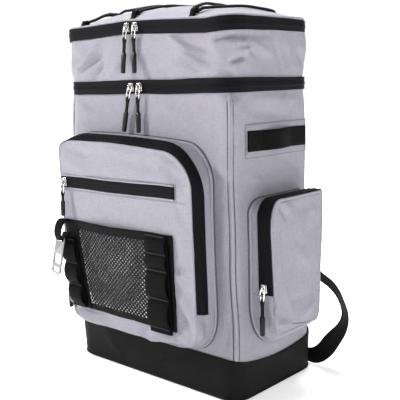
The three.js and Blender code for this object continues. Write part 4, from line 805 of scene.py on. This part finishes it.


# Painted shade: darker than the cloth, for the shadow along sewn seams, their edges and creases.
seam_shade_paint = woven("painted_seam_shade", (0.15, 0.145, 0.165), (0.20, 0.195, 0.22), 0.9)
pocket_trim("front_pocket", front_shape, on_front)
pocket_zip("front_pocket", front_shape, on_front, (0.42, 0.97), 126, slant=4.5)
# The sewn seams across the gusset's foot on each side, drawn as dark lines of painted shade.
foot_lines = []
for x in (128.31, -127.91):
    line = [on_front(x, 126.5 - 5 * math.sin(math.pi * share), share) for share in np.linspace(0.02, 0.97,
                                                                                               12)]
    foot_lines.append(tube(line, 0.55, 6))
make_piece("front_pocket_foot_seam_shades", foot_lines, seam_shade_paint)


# Zip sliders and pulls
# Nickel-plated die-cast sliders, each with a bridge and a wire bail. A doubled cord hangs in the bail
# with a moulded tab over its ends.
def block(centre, run, across, out, size, radius, taper=1.0):
    """Points and faces of a block with rounded edges, its size along run, across and out"""
    shape = bmesh.new()
    bmesh.ops.create_cube(shape, size=1)
    for corner in shape.verts:
        narrow = taper if corner.co.x > 0 else 1
        corner.co = (corner.co.x * size[0], corner.co.y * size[1] * narrow, corner.co.z * size[2])
    bmesh.ops.bevel(shape, geom=shape.edges[:], offset=radius, segments=3, profile=0.5, affect="EDGES")
    local = np.array([corner.co[:] for corner in shape.verts])
    faces = [[corner.index for corner in face.verts] for face in shape.faces]
    shape.free()
    return np.asarray(centre, float) + local @ np.array([run, across, out], float), faces


nickel = finish_named("bright_nickel", 0.22, metallic=1.0, colour=(0.62, 0.61, 0.6))[0]
rubber = finish_named("moulded_rubber", 0.35, specular=0.2, colour=(0.004, 0.004, 0.0044))[0]
cord_cloth = woven("cord_braid", (0.003, 0.003, 0.0034), (0.008, 0.008, 0.009), 0.55, slub=(500, 500),
                   thread=2500, relief=0.4, specular=0.12)


def slider(stem, at, out, hang, cord, tab):
    """Slider with its bail, cord and tab. It sits at a point of the tape and its pull hangs from there."""
    at, along, out, hang = (np.array(v, float) for v in (at, (0, 0, 1), out, hang))
    across = np.cross(out, along)
    parts = [
        block(at + out * 1.0, along, across, out, (11.5, 8.2, 1.5), 0.6, 0.78),
        block(at + out * 3.6, along, across, out, (11.5, 7.6, 1.4), 0.6, 0.78),
        block(at + out * 2.3, along, across, out, (5, 3, 2.6), 0.4),
    ]
    bridge = ((-4, 3.9), (-3.6, 5.4), (-2.2, 6.6), (0, 7.0), (2.2, 6.6), (3.6, 5.4), (4, 3.9))
    arch = [at + along * x + out * z for x, z in bridge]
    parts.append(tube(arch, 1.0, 8))
    hang = unit(hang + out * 0.06)
    side = unit(np.cross(hang, out))
    start = at + out * 5.2
    ring = []
    for turn in np.linspace(0, 2 * np.pi, 25):
        rise = math.sin(turn)
        half = 3.3 * math.cos(turn) * (1.0 if rise < 0 else 0.82)
        ring.append(start + side * half + hang * (7.3 + 8.6 * math.copysign(abs(rise) ** 0.75, rise)))
    parts.append(tube(np.vstack([ring, ring[1]]), 0.95, 8))
    make_piece(stem[0] + "_body" + stem[2], parts, nickel, [stem[0] + stem[2]])
    top = start + hang * 14.6
    end = top + hang * cord
    loops = []
    for s in (-1, 1):
        path = [
            top + out * 1.9, top + side * s * 0.9 + out * 1.4 + hang * 1.5,
            top + side * s * 1.25 + hang * (cord * 0.45), top + side * s * 1.2 + hang * (cord * 0.8),
            end + side * s * 1.2 + hang * 3,
        ]
        loops.append(tube(smooth_path(path, 5), 1.4, 7))
        path = [
            top + out * 1.9, top - out * 0.6 + side * s * 0.7 - hang * 1.4,
            top - out * 1.6 + side * s * 0.9 + hang * 2, top + side * s * 1.15 + hang * (cord * 0.4),
        ]
        loops.append(tube(smooth_path(path, 4), 1.2, 7))
    make_piece(stem[1] + "_cord" + stem[2], loops, cord_cloth)
    middle = end + hang * tab / 2
    parts = [block(middle, hang, side, out, (tab, 7.4, 4.6), 1.8, 0.86),
             block(end + hang * 2.2, hang, side, out, (6, 5.6, 4.2), 1.5),
             block(middle + out * 2.1, hang, side, out, (tab * 0.55, 3.6, 1.2), 0.5)]
    make_piece(stem[1] + "_tab" + stem[2], parts, rubber, [stem[1] + stem[2]])


def smooth_path(path, steps):
    """Smooth curve through a few points"""
    path = np.asarray(path, float)
    rows = np.c_[np.arange(len(path)), path]
    return between(rows, np.linspace(0, len(path) - 1, (len(path) - 1) * steps + 1))


forward = (0, -1, 0)
main_y, top_y = -89.65, -89.3
for zip_name, hand_name, place, sideways in (
    ("main", "left", (-14, main_y, body_top), -0.17), ("main", "right", (2, main_y, body_top), 0.05),
    ("top", "left", (-18, top_y, 486.5), -0.06), ("top", "right", (-2, top_y, 486.5), 0.05),
):
    stem = (zip_name + "_slider_" + hand_name, zip_name + "_pull_" + hand_name, "")
    slider(stem, place, forward, (sideways, 0, -1), 19, 27)
place = on_front(-128.5, 138, 0.74)
slider(("front_pocket_slider", "front_pocket_pull", ""), place, (-1, 0, 0), (0.04, 0, -1), 17, 22)


# Slot zip
# A straight zip let into the pocket's face between two folded edges that are topstitched.
def on_face(x, z, lift):
    """Point at a distance off the front pocket's face"""
    return np.stack(np.broadcast_arrays(x, -(face_of(z) + 1.2 + lift), z), -1)


slot_level = 277
steps = np.linspace(-122, 100.5, 90)
level = slot_level + ripple_along(steps, 50, 3.3, 8.1) * 1.3
centre = on_face(steps, level, 0.1)
out = same((0, -1, 0), len(steps))
across = same((0, 0, 1), len(steps))
slot_section = [(-0.5, 0), (-0.46, 0.8), (-0.2, 0.9), (-0.14, 1.5), (-0.04, 1.6), (0, 0.9), (0.04, 1.6),
                (0.14, 1.5), (0.2, 0.9), (0.46, 0.8), (0.5, 0)]
make_piece("slot_zip_tape", sweep(centre, across, out, slot_section, 17.2), zip_tape,
           ["slot_zip"], True)
lip_section = [(-0.5, 0), (-0.5, 0.7), (-0.3, 1.3), (0.2, 1.4), (0.45, 1.0), (0.5, 0)]
edges = [sweep(centre + across * s * 9.0, across * s * -1, out, lip_section, 2.4) for s in (-1, 1)]
make_piece("slot_zip_lips", edges, grey_cloth)
grey_thread = woven("grey_thread", (0.17, 0.165, 0.185), (0.22, 0.215, 0.24), 0.8)
rows = []
longer = np.linspace(-120, 122, 90)
for s in (-1, 1):
    path = on_face(longer, slot_level + s * 11.5, 0.15)
    rows.append(stitches(path, same((0, -1, 0), 90), same((0, 0, 1), 90), 2.4, 1.4, 0.3))
make_piece("slot_zip_stitches", rows, grey_thread)
slider(("slot_slider", "slot_pull", ""), on_face(-114, slot_level, 1.2), forward, (0.03, 0, -1), 12, 22)


# Net pocket
# Diamond net with a wide binding at its top and narrower ones on the other sides, all sewn to the
# face. It stands a little away from the cloth behind it.
def net_bow(x, z):
    """How far the net stands away from the face"""
    return 9 * np.sin(np.pi * np.clip((x + 88) / 138, 0, 1)) * np.clip((z - 96) / 127, 0, 1)


black_cloth_band = woven("binding_cloth", (0.003, 0.003, 0.0033), (0.007, 0.007, 0.0077), 0.6,
                         slub=(60, 900), thread=1800, relief=0.4, specular=0.05)
bands = []
for x0, z0, x1, z1, wide, lift in (
    (-119, 217, 94, 217, 12, 2.4), (-112, 100.5, 94, 100.5, 9, 1.6), (91, 222, 91, 97, 7, 1.8),
    (69, 222, 69, 97, 37, 1.0),
    (-108, 222, -93, 97, 28, 1.0), (-96, 222, -75, 98, 5.5, 2.6),
):
    t = np.linspace(0, 1, 46)
    x, z = x0 + (x1 - x0) * t, z0 + (z1 - z0) * t
    wander = np.array([noise.noise(Vector((a / 30, b / 30, wide))) for a, b in zip(x, z)]) * 0.8
    upright = z0 != z1
    place = on_face(x + (wander if upright else 0), z + (0 if upright else wander), 0.3 + 0.7 * net_bow(x, z))
    side = same((1, 0, 0) if upright else (0, 0, 1), 46)
    band_section = [(-0.5, 0), (-0.5, lift * 0.6), (-0.44, lift), (0.44, lift), (0.5, lift * 0.6), (0.5, 0)]
    bands.append(sweep(place, side, same((0, -1, 0), 46), band_section, wide))
make_piece("net_binding", bands, black_cloth_band, ["mesh_binding"], True)

net_cord = finish_named("net_strand", 0.5, specular=0.12, colour=(0.005, 0.005, 0.0055))[0]
pitch_x, pitch_z = 6.7, 6.3
points, faces = [], []
for j in range(-1, 37):
    for i in range(-2, 23):
        x = -88 + pitch_x * (i + 0.5 * (j % 2)) + pitch_x / 2
        z = 103 + pitch_z / 2 * j
        left_edge = -93 + 22 * (214 - z) / 112
        if x > 54 or z > 215 or x < left_edge or z < 101:
            continue
        start = len(points)
        for k in range(8):
            turn = math.pi / 4 * k
            reach = (0.5, 0.25)[k % 2]
            points.append((x + pitch_x * math.copysign(reach, math.cos(turn)) * (abs(math.cos(turn)) > 0.1),
                           z + pitch_z * math.copysign(reach,
                                                       math.sin(turn)) * (abs(math.sin(turn)) > 0.1),
                                                       0.0))
        for k in range(8):
            turn = math.pi / 4 * k
            reach = (0.22, 0.2)[k % 2]
            points.append((x + pitch_x * reach * math.cos(turn), z + pitch_z * reach * math.sin(turn), 0.3))
        for k in range(8):
            after = (k + 1) % 8
            faces.append([start + k, start + after, start + 8 + after, start + 8 + k])
flat = np.array(points)
ripple = np.array([noise.noise(Vector((x / 25, z / 25, 2.2))) for x, z, _ in flat])
points = on_face(flat[:, 0], flat[:, 1],
                 1.8 + 0.7 * net_bow(flat[:, 0], flat[:, 1]) + ripple * 0.9 - flat[:, 2])
net = make_piece("net", (points, faces), net_cord, ["mesh_panel"])
weld = bmesh.new()
weld.from_mesh(net.data)
bmesh.ops.remove_doubles(weld, verts=weld.verts, dist=0.00005)
bmesh.ops.recalc_face_normals(weld, faces=weld.faces)
weld.to_mesh(net.data)
weld.free()
thick = net.modifiers.new("thickness", "SOLIDIFY")
thick.thickness = 0.0006
# Painted light: a sheet behind the net much paler than the grey cloth, so that the holes show bright as if
# lit through.
net_hole_light_paint = woven("net_hole_light_paint", (0.8, 0.79, 0.81), (0.88, 0.87, 0.89), 0.9)
x, z = np.meshgrid(np.linspace(-104, 60, 12), np.linspace(100, 216, 10), indexing="ij")
lining = np.concatenate([on_face(x, z, 1.0)[:, ::-1], on_face(x, z, 0.5)], axis=1)
make_piece("net_backing_painted_light", loft([lining]), net_hole_light_paint)


# Webbing chains
# Two broad black webbings sewn down beside the net, each with a second layer that stands off in loops
# between its bar tacks.
webbing = woven("black_webbing", (0.002, 0.002, 0.0022), (0.006, 0.006, 0.0066), 0.55, slub=(1400, 90),
                thread=1000, relief=0.6, specular=0.03)
web_section = [(-0.5, 0), (-0.5, 0.9), (-0.47, 1.5), (-0.25, 1.65), (0, 1.6), (0.25, 1.65), (0.47, 1.5),
               (0.5, 0.9), (0.5, 0)]


for name, middle, high, low, slant, wide, loops in (
    ("daisy_chain_right", 68, 222, 92, 3, 38,
     ((0.04, 0.17, 3), (0.2, 0.34, 4), (0.37, 0.63, 6.5), (0.67, 0.93, 5.5))),
    ("daisy_chain_left", -111, 196, 98, 17, 30, ((0.05, 0.34, 4), (0.38, 0.66, 7), (0.7, 0.95, 6))),
):
    t = np.linspace(0, 1, 40)
    base_path = on_face(middle + slant * t, high + (low - high) * t, 3.5)
    right_way = same((1, 0, 0), 40)
    parts = [sweep(base_path, right_way, same(forward, 40), web_section, wide)]
    share, rise, tacks = [0.0], [0.0], [0.01]
    for start, end, bulge in loops:
        inner = np.linspace(0, 1, 17)
        share += list(start + (end - start) * inner)
        flat_top = np.sin(np.pi * inner) ** 0.55
        rise += list(bulge * flat_top * (0.8 + 0.25 * inner))
        tacks.append(end + 0.018)
    share.append(1.0)
    rise.append(0.0)
    share, rise = np.array(share), np.array(rise)
    skew = ripple_along(share, 1 / 4, middle, 3.3)
    path = on_face(middle + slant * share + skew * 1.4, high + (low - high) * share, 5.2 + rise)
    run = unit(np.gradient(path, axis=0))
    tilt = ripple_along(share, 1 / 6, middle, 7.7) * 0.09
    right_way = unit(np.c_[np.ones(len(share)), -tilt, tilt * 0])
    out = unit(np.cross(right_way, run))
    out = out * np.where(out[:, 1:2] > 0.05, -1, 1)
    parts.append(sweep(path, right_way, out, web_section, wide - 0.6))
    make_piece(name + "_webbing", parts, webbing, [name], True)
    bars = []
    for at in tacks:
        at = min(at, 0.985)
        spot = on_face(middle + slant * at, high + (low - high) * at, 7.0)
        bars.append(block(spot, (1, 0, 0), (0, 0, 1), forward, (wide - 4, 2.2, 1.0), 0.35))
    make_piece(name + "_bar_tacks", bars, black_thread)


# Bottle opener and its loop
# A stamped steel opener that hangs in a loop of narrow webbing at the top of the left chain.
route = np.array([(0.8, 222), (6, 222), (12, 217), (15.5, 209), (16, 202), (13.5, 196), (9, 195),
                  (4, 199), (0.8, 204)], float)
share = np.array([1.6, 1.5, 1.3, 1.2, 1.1, 1.1, 1.1, 1.2, 1.4])
fine = between(np.c_[np.arange(9), route, share], np.linspace(0, 8, 49))
path = on_face(np.full(49, -115.0), fine[:, 1], 3.6 + fine[:, 0])
run = unit(np.gradient(path, axis=0))
right_way = same((1, 0, 0), 49)
make_piece("opener_loop_webbing",
           sweep(path, right_way, unit(np.cross(run, right_way)), web_section, 13, fine[:, 2]), webbing,
           ["opener_loop"], True)


def rounded_copy(name, new_name, material, width):
    """Copy of a hard solid with its edges rounded"""
    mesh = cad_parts[name].data.copy()
    mesh.name = new_name
    shape = bmesh.new()
    shape.from_mesh(mesh)
    bmesh.ops.remove_doubles(shape, verts=shape.verts, dist=0.00001)
    bmesh.ops.dissolve_limit(shape, angle_limit=0.03, verts=shape.verts, edges=shape.edges)
    sharp = [edge for edge in shape.edges if edge.is_manifold and edge.calc_face_angle() > 0.5]
    bmesh.ops.bevel(shape, geom=sharp, offset=width / 1000, segments=2, profile=0.5, affect="EDGES")
    for face in shape.faces:
        face.smooth = True
    shape.to_mesh(mesh)
    shape.free()
    mesh.materials.clear()
    mesh.materials.append(material)
    piece = bpy.data.objects.new(new_name, mesh)
    bpy.context.scene.collection.objects.link(piece)
    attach(piece, "root")
    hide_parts(name)
    return piece


steel, tree, shader = finish_named("brushed_steel", 0.42, metallic=1.0, colour=(0.24, 0.24, 0.245))
coords = node(tree, "TexCoord").outputs["Object"]
brushed = node(tree, "TexNoise",
               Vector=node(tree, "Mapping", Vector=coords, Scale=(1500, 1500, 60)).outputs[0], Scale=1.0,
               Detail=2.0)
bump = node(tree, "Bump", Height=brushed.outputs["Fac"], Strength=0.12, Distance=0.0003)
tree.links.new(bump.outputs["Normal"], shader.inputs["Normal"])
opener = rounded_copy("bottle_opener", "opener_plate", steel, 0.6)
eye = np.array([-110.0, -155.808, 196.1])
seat = on_face(-116.0, 195.2, 15.1)
lean = Matrix.Rotation(math.radians(5), 3, "Y")
for corner in opener.data.vertices:
    local = Vector(np.array(corner.co) * 1000 - (0, middle_y, 0) - eye)
    local = lean @ Vector((local.x * 0.98, local.y, local.z * 0.94))
    corner.co = (Vector(seat) + local + Vector((0, middle_y, 0))) / 1000


# Side pockets
# A boxed pocket on each side, built like the front one, with a zip from its front foot over the top.
def on_side(hand):
    """Placing of points on the wall and face of one side's pocket"""
    def place(a, z, share, lift=0.0):
        wall = between(body_rows, z)[..., 0] + 0.3
        x = hand * (wall + (195 - wall) * share + lift)
        return np.stack(np.broadcast_arrays(x, a, z), -1)
    return place


side_shape = {"steps": 16, "rows": [
    (0, -60.5, 57, 72.5, 263, 26, 34, 10, 10, 24, 16, 42, 58, 0),
    (0.4, -60, 56, 75, 265.5, 20, 30, 5, 5, 22, 22, 34, 46, 0.03),
    (0.96, -60, 54.5, 90, 266, 12, 16, 3, 3, 17, 34, 8, 12, 0.11),
]}
for hand, side_name in ((1, "_right"), (-1, "_left")):
    place = on_side(hand)
    grid = pocket_rows(side_shape, place, 0.4, 145, 1.5, 24, 5.0 + hand)
    facing = outward(grid)
    facing = facing * (hand * np.sign(facing[24:, :, 0].mean()))
    x = hand * 196
    grid = folded(grid, facing, [
        (x, -44, 260, x, -33, 242, 3, -2.2), (x, -38, 262, x, -24, 250, 5, 1.6),
        (x, -54, 110, x, -20, 99, 4, 2.0), (x, 20, 250, x, 44, 232, 8, 1.2),
        (x, -36, 150, x, -20, 116, 8, 1.6),
        (x, 30, 120, x, 44, 170, 8, -1.4), (x, -46, 220, x, -46, 170, 6, 1.2),
        (x, 0, 104, x, 30, 116, 8, 1.2),
        (x, -6, 250, x, 30, 248, 9, -1.0), (x, -20, 200, x, 20, 176, 12, 1.2),
        (x, -30, 130, x, 10, 128, 9, -1.0),
        (x, 38, 240, x, 42, 200, 7, -1.0),
        (hand * 176, -59, 140, hand * 182, -56, 104, 5, -2.2),
        (hand * 190, -57, 142, hand * 192, -54, 108, 4, 2.0),
        (hand * 170, -56, 118, hand * 186, -50, 92, 4, -1.8),
    ])
    make_piece("side_pocket_cloth" + side_name, loft([grid]), grey_cloth,
               ["side_pocket_shell" + side_name])
    pocket_trim("side_pocket", side_shape, place, side_name)
    pocket_zip("side_pocket", side_shape, place, (0.4, 0.96), 145, side_name)
    # Sewn seams, a pleat and a crease on the pocket, drawn as dark lines of painted shade.
    seams = []
    shares = np.linspace(0.02, 0.96, 10)
    for edge in (np.linspace(-60.2, -54.4, 10), np.linspace(57.3, 49.8, 10)):
        line = [place(y, 145.5 - 3 * math.sin(math.pi * share), share) for share, y in zip(shares, edge)]
        seams.append(tube(line, 0.5, 6))
    pleat = smooth_path([place(-52, 107.5, 1, 0.9), place(-40, 104.5, 1, 0.9), place(-16, 99, 1, 1.1),
                         place(8, 94, 1, 0.9), place(20, 92.4, 1, 0.3)], 8)
    seams.append(tube(pleat, 0.7, 6))
    crease = smooth_path([place(-56.4, 143, 0.97, 0.3), place(-54, 134, 1, 0.5),
                          place(-55.5, 125, 1, 0.4), place(-52.6, 116, 1, 0.8),
                          place(-52.4, 107.5, 1, 0.9)], 6)
    seams.append(tube(crease, 0.6, 6))
    make_piece("side_pocket_seams" + side_name, seams, seam_shade_paint)
    stem = ("side_pocket_slider", "side_pocket_pull", side_name)
    slider(stem, place(-59.6, 154, 0.66), forward, (0.04 * hand, 0, -1), 20, 25)


# Carry handles
# Black webbing sewn with crossed boxes on a cloth patch. It bows out between its sewn ends.
handle_level = 338.0


def rectangle(half, low, high):
    """81 points round an upright rectangle on the side"""
    corners = np.array([(-half, low), (half, low), (half, high), (-half, high), (-half, low)])
    return at_lengths(np.linspace(0, 4, 81), range(5), corners)


box_thread = woven("box_thread", (0.016, 0.016, 0.017), (0.026, 0.026, 0.028), 0.6, specular=0.1)
for hand, side_name in ((1, "_right"), (-1, "_left")):
    y = np.linspace(-65, 65, 40)
    wall = between(body_rows, np.full(40, handle_level))[:, 0] + 0.3
    centre = np.c_[hand * wall, y, np.full(40, handle_level)]
    out = same((hand, 0, 0), 40)
    up = same((0, 0, 1), 40)
    patch_section = [(-0.5, -0.6), (-0.5, 0.9), (-0.47, 1.5), (-0.4, 1.3), (0.4, 1.3), (0.47, 1.5),
                     (0.5, 0.9), (0.5, -0.6)]
    make_piece("handle_patch_cloth" + side_name, sweep(centre, up, out, patch_section, 41), grey_cloth,
               ["handle_patch" + side_name])
    path = np.c_[np.full(81, hand * 161.4), rectangle(63, 320.5, 355.5)]
    make_piece("handle_patch_stitches" + side_name,
               stitches(path, same((hand, 0, 0), 81), same((0.0, 0.7, 0.7), 81), 2.2, 1.4, 0.3, 0.1),
               grey_thread)
    # A dark line of painted shade round the patch's sewn edge.
    make_piece("handle_patch_edge_shade" + side_name,
               tube(np.c_[np.full(81, hand * 160.3), rectangle(65.3, 317.2, 358.8)], 0.75, 6), seam_shade_paint)
    y = np.linspace(-62, 62, 71)
    inner = np.clip((y + 34) / 68, 0, 1)
    off = 5.5 * np.sin(np.pi * inner) ** 1.5
    seat = 161.6
    path = np.c_[hand * (seat + off), y, handle_level + 0.4 * np.sin(y / 17)]
    run = unit(np.gradient(path, axis=0))
    out = unit(np.cross(run, same((0, 0, 1), 71))) * hand
    out = out * np.sign(out[:, :1] * hand)
    make_piece("handle_webbing_strap" + side_name, sweep(path, same((0, 0, 1), 71), out, web_section, 26),
               webbing, ["handle_webbing" + side_name], True)
    rows = []
    for s in (-1, 1):
        low, inner_low, inner_high, high = (s * 59.5, 328), (s * 37, 328), (s * 37, 348), (s * 59.5, 348)
        for start, end in (
            (low, inner_low), (inner_low, inner_high), (inner_high, high), (high, low),
            (low, inner_high), (high, inner_low),
        ):
            path = np.c_[np.full(8, hand * (seat + 1.55)), np.linspace(start, end, 8)]
            rows.append(stitches(path, same((hand, 0, 0), 8), same((0.0, 0.6, 0.8), 8), 2.0, 1.0, 0.3))
    make_piece("handle_stitches" + side_name, rows, box_thread)


# Lid cord and tabs
# A black elastic cord laced to and fro over the lid through five folded cloth tabs, with a cord lock
# near its left end.
def tab_eye(tab):
    """Middle of a tab's eye over the lid"""
    return np.array([tab[0], tab[1], lid_height(tab[0], tab[1]) + 3.0])


tabs = [(-121.6, -74, -1, "bungee_tab_front_left"), (-80, 60, 1, "bungee_tab_back_left"),
        (-15, -75, -1, "bungee_tab_front_middle"), (40, 60, 1, "bungee_tab_back_right"),
        (92, -75, -1, "bungee_tab_front_right")]
for x, y, tail, name in tabs:
    eye = tab_eye((x, y))
    turn = np.linspace(-math.pi / 2 - 0.6, math.pi / 2, 16)
    inward = -tail
    ring = [eye + (0, inward * 2.5 * math.cos(t), 2.5 * math.sin(t)) for t in turn]
    tail_y = y + tail * 9
    end = np.array([x, tail_y, lid_height(x, tail_y) + 1.4])
    under = [np.array([x, y + tail * 3.5, eye[2] + 1.6]), (np.array([x, y + tail * 6.5, end[2] + 0.8])), end]
    path = smooth_path(np.vstack([ring[::3], under]), 4)
    run = unit(np.gradient(path, axis=0))
    right_way = same((1, 0, 0), len(path))
    out = unit(np.cross(right_way, run))
    tab_section = [(-0.5, -0.6), (-0.5, 0.6), (-0.4, 0.8), (0.4, 0.8), (0.5, 0.6), (0.5, -0.6)]
    make_piece(name + "_cloth", sweep(path, right_way, out, tab_section, 9), webbing,
               [name], True)


def over_lid(x, y, lift=2.9):
    """Point at a height over the lid"""
    return np.array([x, y, lid_height(x, y) + lift])


route = [over_lid(-147.2, 54.9), over_lid(-136, 22), over_lid(-117, -6), over_lid(-111.5, -24, 6.5),
         over_lid(-111.5, -45, 6.5),
         over_lid(-120, -60, 4)]
for n, (x, y, tail, name) in enumerate(tabs):
    eye = tab_eye((x, y))
    for step_x, step_y in ((-9.5, 10), (-6.5, 3.0), (-3.4, 0), (3.4, 0), (6.5, 3.0),
                           (9.5, 10))[::-1 if n == 1 else 1]:
        if n or step_x > -9:
            spot = over_lid(x + step_x, y - tail * step_y)
            spot[2] = max(eye[2], spot[2]) if step_y < 5 else spot[2]
            route.append(spot)
    if n == 0:
        route += [over_lid(-107.5, -48, 6.5), over_lid(-106, -26, 6.5), (-94, -25, 516.6),
                  (-80, -26.5, 517), (-56, -30.5, 517),
                  (-32, -35, 517), (-14, -35, 516.8), (-5, -24, 516), over_lid(-24, 8), over_lid(-48, 34)]
    elif n < 4:
        after = tab_eye(tabs[n + 1])
        leave = x + (-9.5 if n == 1 else 9.5)
        for t in (0.3, 0.5, 0.7):
            route.append(over_lid(leave + (after[0] - 9.5 - leave) * t, y + (after[1] - y) * t))
route += [over_lid(110, -8.9), over_lid(118, 20), over_lid(122, 44, 2.0), over_lid(123, 50, -0.5)]
make_piece("lid_cord", tube(smooth_path(route, 6), 1.95, 8), cord_cloth, ["lid_bungee"], True)

plastic = finish_named("moulded_plastic", 0.35, specular=0.2, colour=(0.005, 0.005, 0.0055))[0]
lock = rounded_copy("cord_lock", "cord_lock_body", plastic, 0.7)
for corner in lock.data.vertices:
    corner.co.z -= 0.0013


# Back panel
# A padded panel on the back, of black cloth quilted over foam.
padded_cloth = woven("padded_black_cloth", (0.005, 0.005, 0.0055), (0.011, 0.011, 0.012), 0.8,
                     slub=(200, 200), thread=1400, relief=0.6, specular=0.1)
panel_shape = {"steps": 18, "rows": [
    (0, -135, 135, 66, 388, 30, 30, 40, 40, 40, 40, 30, 30, 0),
]}
base, away = pocket_plan(panel_shape)
middle = np.array([0.0, 227.0])
rows = []
for inset, lift in ((0.5, 0.2), (0, 2.5), (0, 4.5), (1.5, 7)):
    spot = base - away * inset
    rows.append(np.c_[spot[:, 0], back_of(spot[:, 1]) + 0.3 + lift, spot[:, 1]])
for share in np.linspace(0.97, 0.03, 34):
    spot = middle + (base - middle) * share
    edge = 1 - share
    quilt = sum(np.exp(-((np.abs(spot[:, 0]) - at) / 4) ** 2) for at in (0, 46)) * 3.2
    quilt = np.maximum(quilt, 3.0 * np.exp(-((np.abs(spot[:, 1] - 227) - 88) / 4) ** 2))
    lift = 7 + 5 * min(edge * 12, 1) ** 0.6 - quilt * min(edge * 8, 1)
    rows.append(np.c_[spot[:, 0], back_of(spot[:, 1]) + 0.3 + lift, spot[:, 1]])
panel = make_piece("back_panel_cloth", loft([np.array(rows)]), padded_cloth, ["back_panel"])


# Shoulder straps
# Padded straps sewn to the top of the back, with a bound edge. A ladder lock at the end of each holds
# the webbing that runs to the foot of the back.
strap_rows = [(50, 3.3, 384, .7), (52, 10, 374, .85), (55, 24, 352, 1), (59, 34, 318, 1), (63, 37, 282, 1),
              (69, 34, 246, 1), (77, 26, 212, .92), (86, 18, 184, .75), (92, 14, 166, .55)]
lower_rows = [(96, 9.6, 132, 90, 1), (113, 9.6, 132, 90, 1), (124, 12, 132, 56, 1), (138, 13, 131, 20, 1),
              (156, 9, 128, 0, 1),
              (175, 3, 123, -8, 1), (190, -2, 114, -16, 1), (200, -5, 102, -20, 1), (205, -6, 88, -14, 1),
              (203, -6, 73, 6, 1),
              (195, -6, 57, 34, 1), (183, -6, 40, 58, 1), (171, -6, 24, 76, 1), (155, -8, 13, 90, .95),
              (126, -9.2, 12.5, 90, .6)]
for hand, side_name in ((1, "_right"), (-1, "_left")):
    fine = smooth_path(strap_rows, 7)
    path = np.c_[hand * fine[:, 0], back_of(fine[:, 2]) + 6.6 + fine[:, 1], fine[:, 2]]
    run = unit(np.gradient(path, axis=0))
    right_way = same((1, 0, 0), len(path))
    out = unit(np.cross(right_way, run))
    out = out * np.sign(out[:, 1:2])
    right_half = [
        (0, 0), (0.2, 0), (0.4, 0.4), (0.45, 1.4), (0.49, 2.4), (0.5, 3.6),
        (0.5, 7.4), (0.49, 8.6), (0.45, 9.3), (0.4, 10.6), (0.2, 11), (0, 11),
    ]
    left_half = [(-x, y) for x, y in right_half[-2:0:-1]]
    strap_section = left_half[-5:] + right_half + left_half[:-5]
    strap = make_piece("shoulder_strap_pad" + side_name,
                       sweep(path, right_way, out, strap_section, 68, fine[:, 3]), padded_cloth,
                       ["shoulder_strap" + side_name], True)
    rounded_copy("ladder_lock" + side_name, "ladder_lock_frame" + side_name, plastic, 0.6)
    fine = smooth_path(lower_rows, 8)
    path = np.c_[hand * fine[:, 0], back_of(fine[:, 2]) + 12.6 + fine[:, 1], fine[:, 2]]
    run = unit(np.gradient(path, axis=0))
    back = same((0.0, 1.0, 0.0), 113)
    level = unit(np.cross(run, back)) * hand
    turn = np.radians(fine[:, 3])[:, None]
    across = unit(back * np.cos(turn) + level * np.sin(turn))
    out = unit(np.cross(run, across))
    make_piece("lower_webbing_strap" + side_name,
               sweep(path - out * 0.8, across, out, web_section, 25, fine[:, 4]), webbing,
               ["lower_webbing" + side_name], True)
